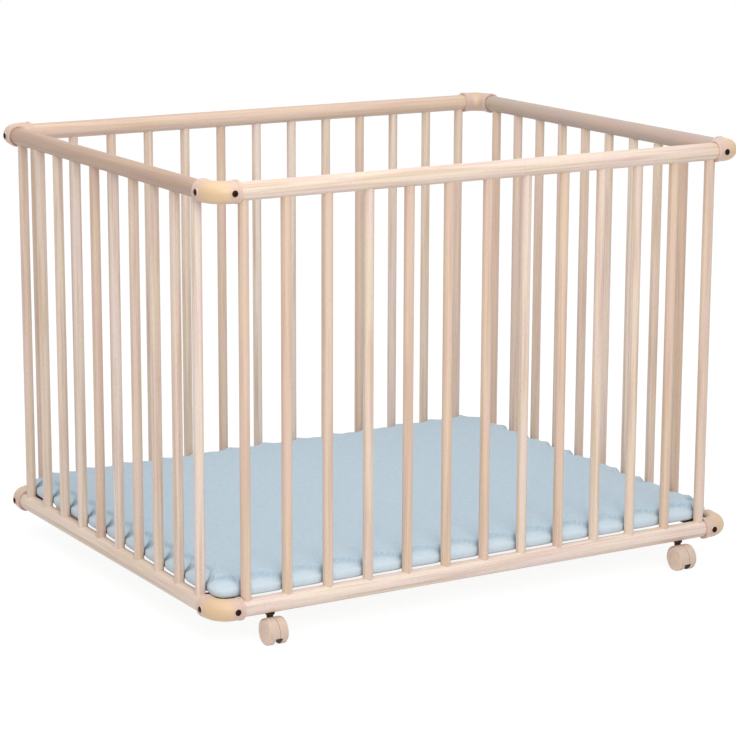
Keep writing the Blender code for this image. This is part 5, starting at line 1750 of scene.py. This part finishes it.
# %% The finished mat
rounding = pad_piece.modifiers.new("rounding", "SUBSURF")
rounding.levels = rounding.render_levels = 1
bpy.context.view_layer.update()
rounded_pad = pad_piece.evaluated_get(bpy.context.evaluated_depsgraph_get())
finished = bpy.data.meshes.new_from_object(rounded_pad)
bpy.data.objects.remove(pad_piece, do_unlink=True)
finished.shade_smooth()
piece = put(finished, "play_mat_padded_cotton", "pen", ["play_mat"], COTTON)
print("mat:", len(piece.data.polygons), "faces,", [round(side / MM, 1) for side in piece.dimensions])

# %% [markdown]
# ## Stage
# The pen stands on a plain pale floor in soft light. To the camera, and in reflections, the world is plain
# white and the floor nearly so, while it still takes the pen's soft shadow. To the pen itself both give
# only the light of a pale room, so the background's brightness never spills on to the wood.

# %% World
ROOM_LIGHT = 0.60
world = bpy.data.worlds.new("pale_room")
bpy.context.scene.world = world
world.use_nodes = True
tree = world.node_tree
tree.nodes.clear()


def seen_directly(tree):
    """1 for rays from the camera and for reflected or transmitted ones, else 0."""
    path = add(tree, "ShaderNodeLightPath").outputs
    seen = path["Is Camera Ray"]
    for kind in ("Is Glossy Ray", "Is Transmission Ray"):
        seen = add(tree, "ShaderNodeMath", {0: seen, 1: path[kind]}, operation="MAXIMUM").outputs[0]
    return seen


room = add(tree, "ShaderNodeBackground", {"Color": linear("F4F6FA"), "Strength": ROOM_LIGHT})
white = add(tree, "ShaderNodeBackground", {"Color": (1, 1, 1, 1), "Strength": 1.0})
both = {0: seen_directly(tree), 1: room.outputs[0], 2: white.outputs[0]}
mixed = add(tree, "ShaderNodeMixShader", both)
add(tree, "ShaderNodeOutputWorld", {0: mixed.outputs[0]})
print("world:", len(tree.nodes), "nodes")

# %% [markdown]
# The floor is painted matt. What the camera sees of it is mostly its own even glow, and one fifth is real
# light, which is where the pen's soft shadow shows.

# %% Floor
FLOOR_GLOW, SHADOW_SHARE = 0.91, 0.2
FLOOR_PAINT = bpy.data.materials.new("floor_painted_pale")
FLOOR_PAINT.use_nodes = True
tree = FLOOR_PAINT.node_tree
tree.nodes.clear()
paint = add(tree, "ShaderNodeBsdfDiffuse", {"Color": (0.8, 0.8, 0.8, 1)})
lit = add(tree, "ShaderNodeBsdfDiffuse", {"Color": (SHADOW_SHARE, SHADOW_SHARE, SHADOW_SHARE, 1)})
glow = add(tree, "ShaderNodeEmission", {"Color": (1, 1, 1, 1), "Strength": FLOOR_GLOW})
seen = add(tree, "ShaderNodeAddShader", {0: lit.outputs[0], 1: glow.outputs[0]})
both = {0: seen_directly(tree), 1: paint.outputs[0], 2: seen.outputs[0]}
mixed = add(tree, "ShaderNodeMixShader", both)
add(tree, "ShaderNodeOutputMaterial", {0: mixed.outputs[0]})

FLOOR_HALF = 8.0
floor_mesh = bpy.data.meshes.new("floor")
corners = [(sx * FLOOR_HALF, sy * FLOOR_HALF, 0) for sx, sy in ((-1, -1), (1, -1), (1, 1), (-1, 1))]
floor_mesh.from_pydata(corners, [], [(0, 1, 2, 3)])
floor_mesh.materials.append(FLOOR_PAINT)
floor = bpy.data.objects.new("floor", floor_mesh)
bpy.context.scene.collection.objects.link(floor)
print("floor:", 2 * FLOOR_HALF, "m wide")

# %% [markdown]
# Two large soft lamps stand in for a studio's light boxes: one in front and to the left, and one overhead.
# They are large, so their shadows have no hard edge.

# %% Lamps
def softbox(name, place, aim, size, power):
    """A rectangular lamp at a place, turned towards its aim. Sizes are in metres and power in watts."""
    data = bpy.data.lights.new(name, "AREA")
    data.shape, data.size, data.size_y = "RECTANGLE", size[0], size[1]
    data.energy = power
    lamp = bpy.data.objects.new(name, data)
    bpy.context.scene.collection.objects.link(lamp)
    lamp.location = place
    lamp.rotation_mode = "QUATERNION"
    lamp.rotation_quaternion = (Vector(aim) - Vector(place)).to_track_quat("-Z", "Y")
    return lamp


softbox("key_front", (-1.0, -2.7, 1.8), (0, -0.2, 0.35), (1.6, 1.4), 30)
softbox("overhead", (-0.5, -0.6, 2.7), (0, 0, 0), (2.4, 2.0), 26)
print("lamps:", len(bpy.data.lights))

# %% [markdown]
# ## Camera
# The camera looks down at the near left corner from a little above the hand rails. A long lens keeps the
# bars nearly parallel.

# %% Camera
CAMERA_PLACE = Vector((-2.1728, -3.6912, TOP_RAIL_Z + 0.5794))
CAMERA_YAW, CAMERA_PITCH, CAMERA_ROLL = 0.53391, -0.22076, 0.00350
camera_data = bpy.data.cameras.new("camera")
camera_data.lens, camera_data.sensor_width = 128.07, 36.0
camera = bpy.data.objects.new("camera", camera_data)
bpy.context.scene.collection.objects.link(camera)
camera.matrix_world = (
    Matrix.Translation(CAMERA_PLACE)
    @ Matrix.Rotation(-CAMERA_YAW, 4, "Z")
    @ Matrix.Rotation(QUARTER + CAMERA_PITCH, 4, "X")
    @ Matrix.Rotation(CAMERA_ROLL, 4, "Z")
)
bpy.context.scene.camera = camera
bpy.context.scene.view_settings.view_transform = "Standard"
print("camera:", round(CAMERA_PLACE.length, 2), "m from the pen, lens", round(camera_data.lens), "mm")
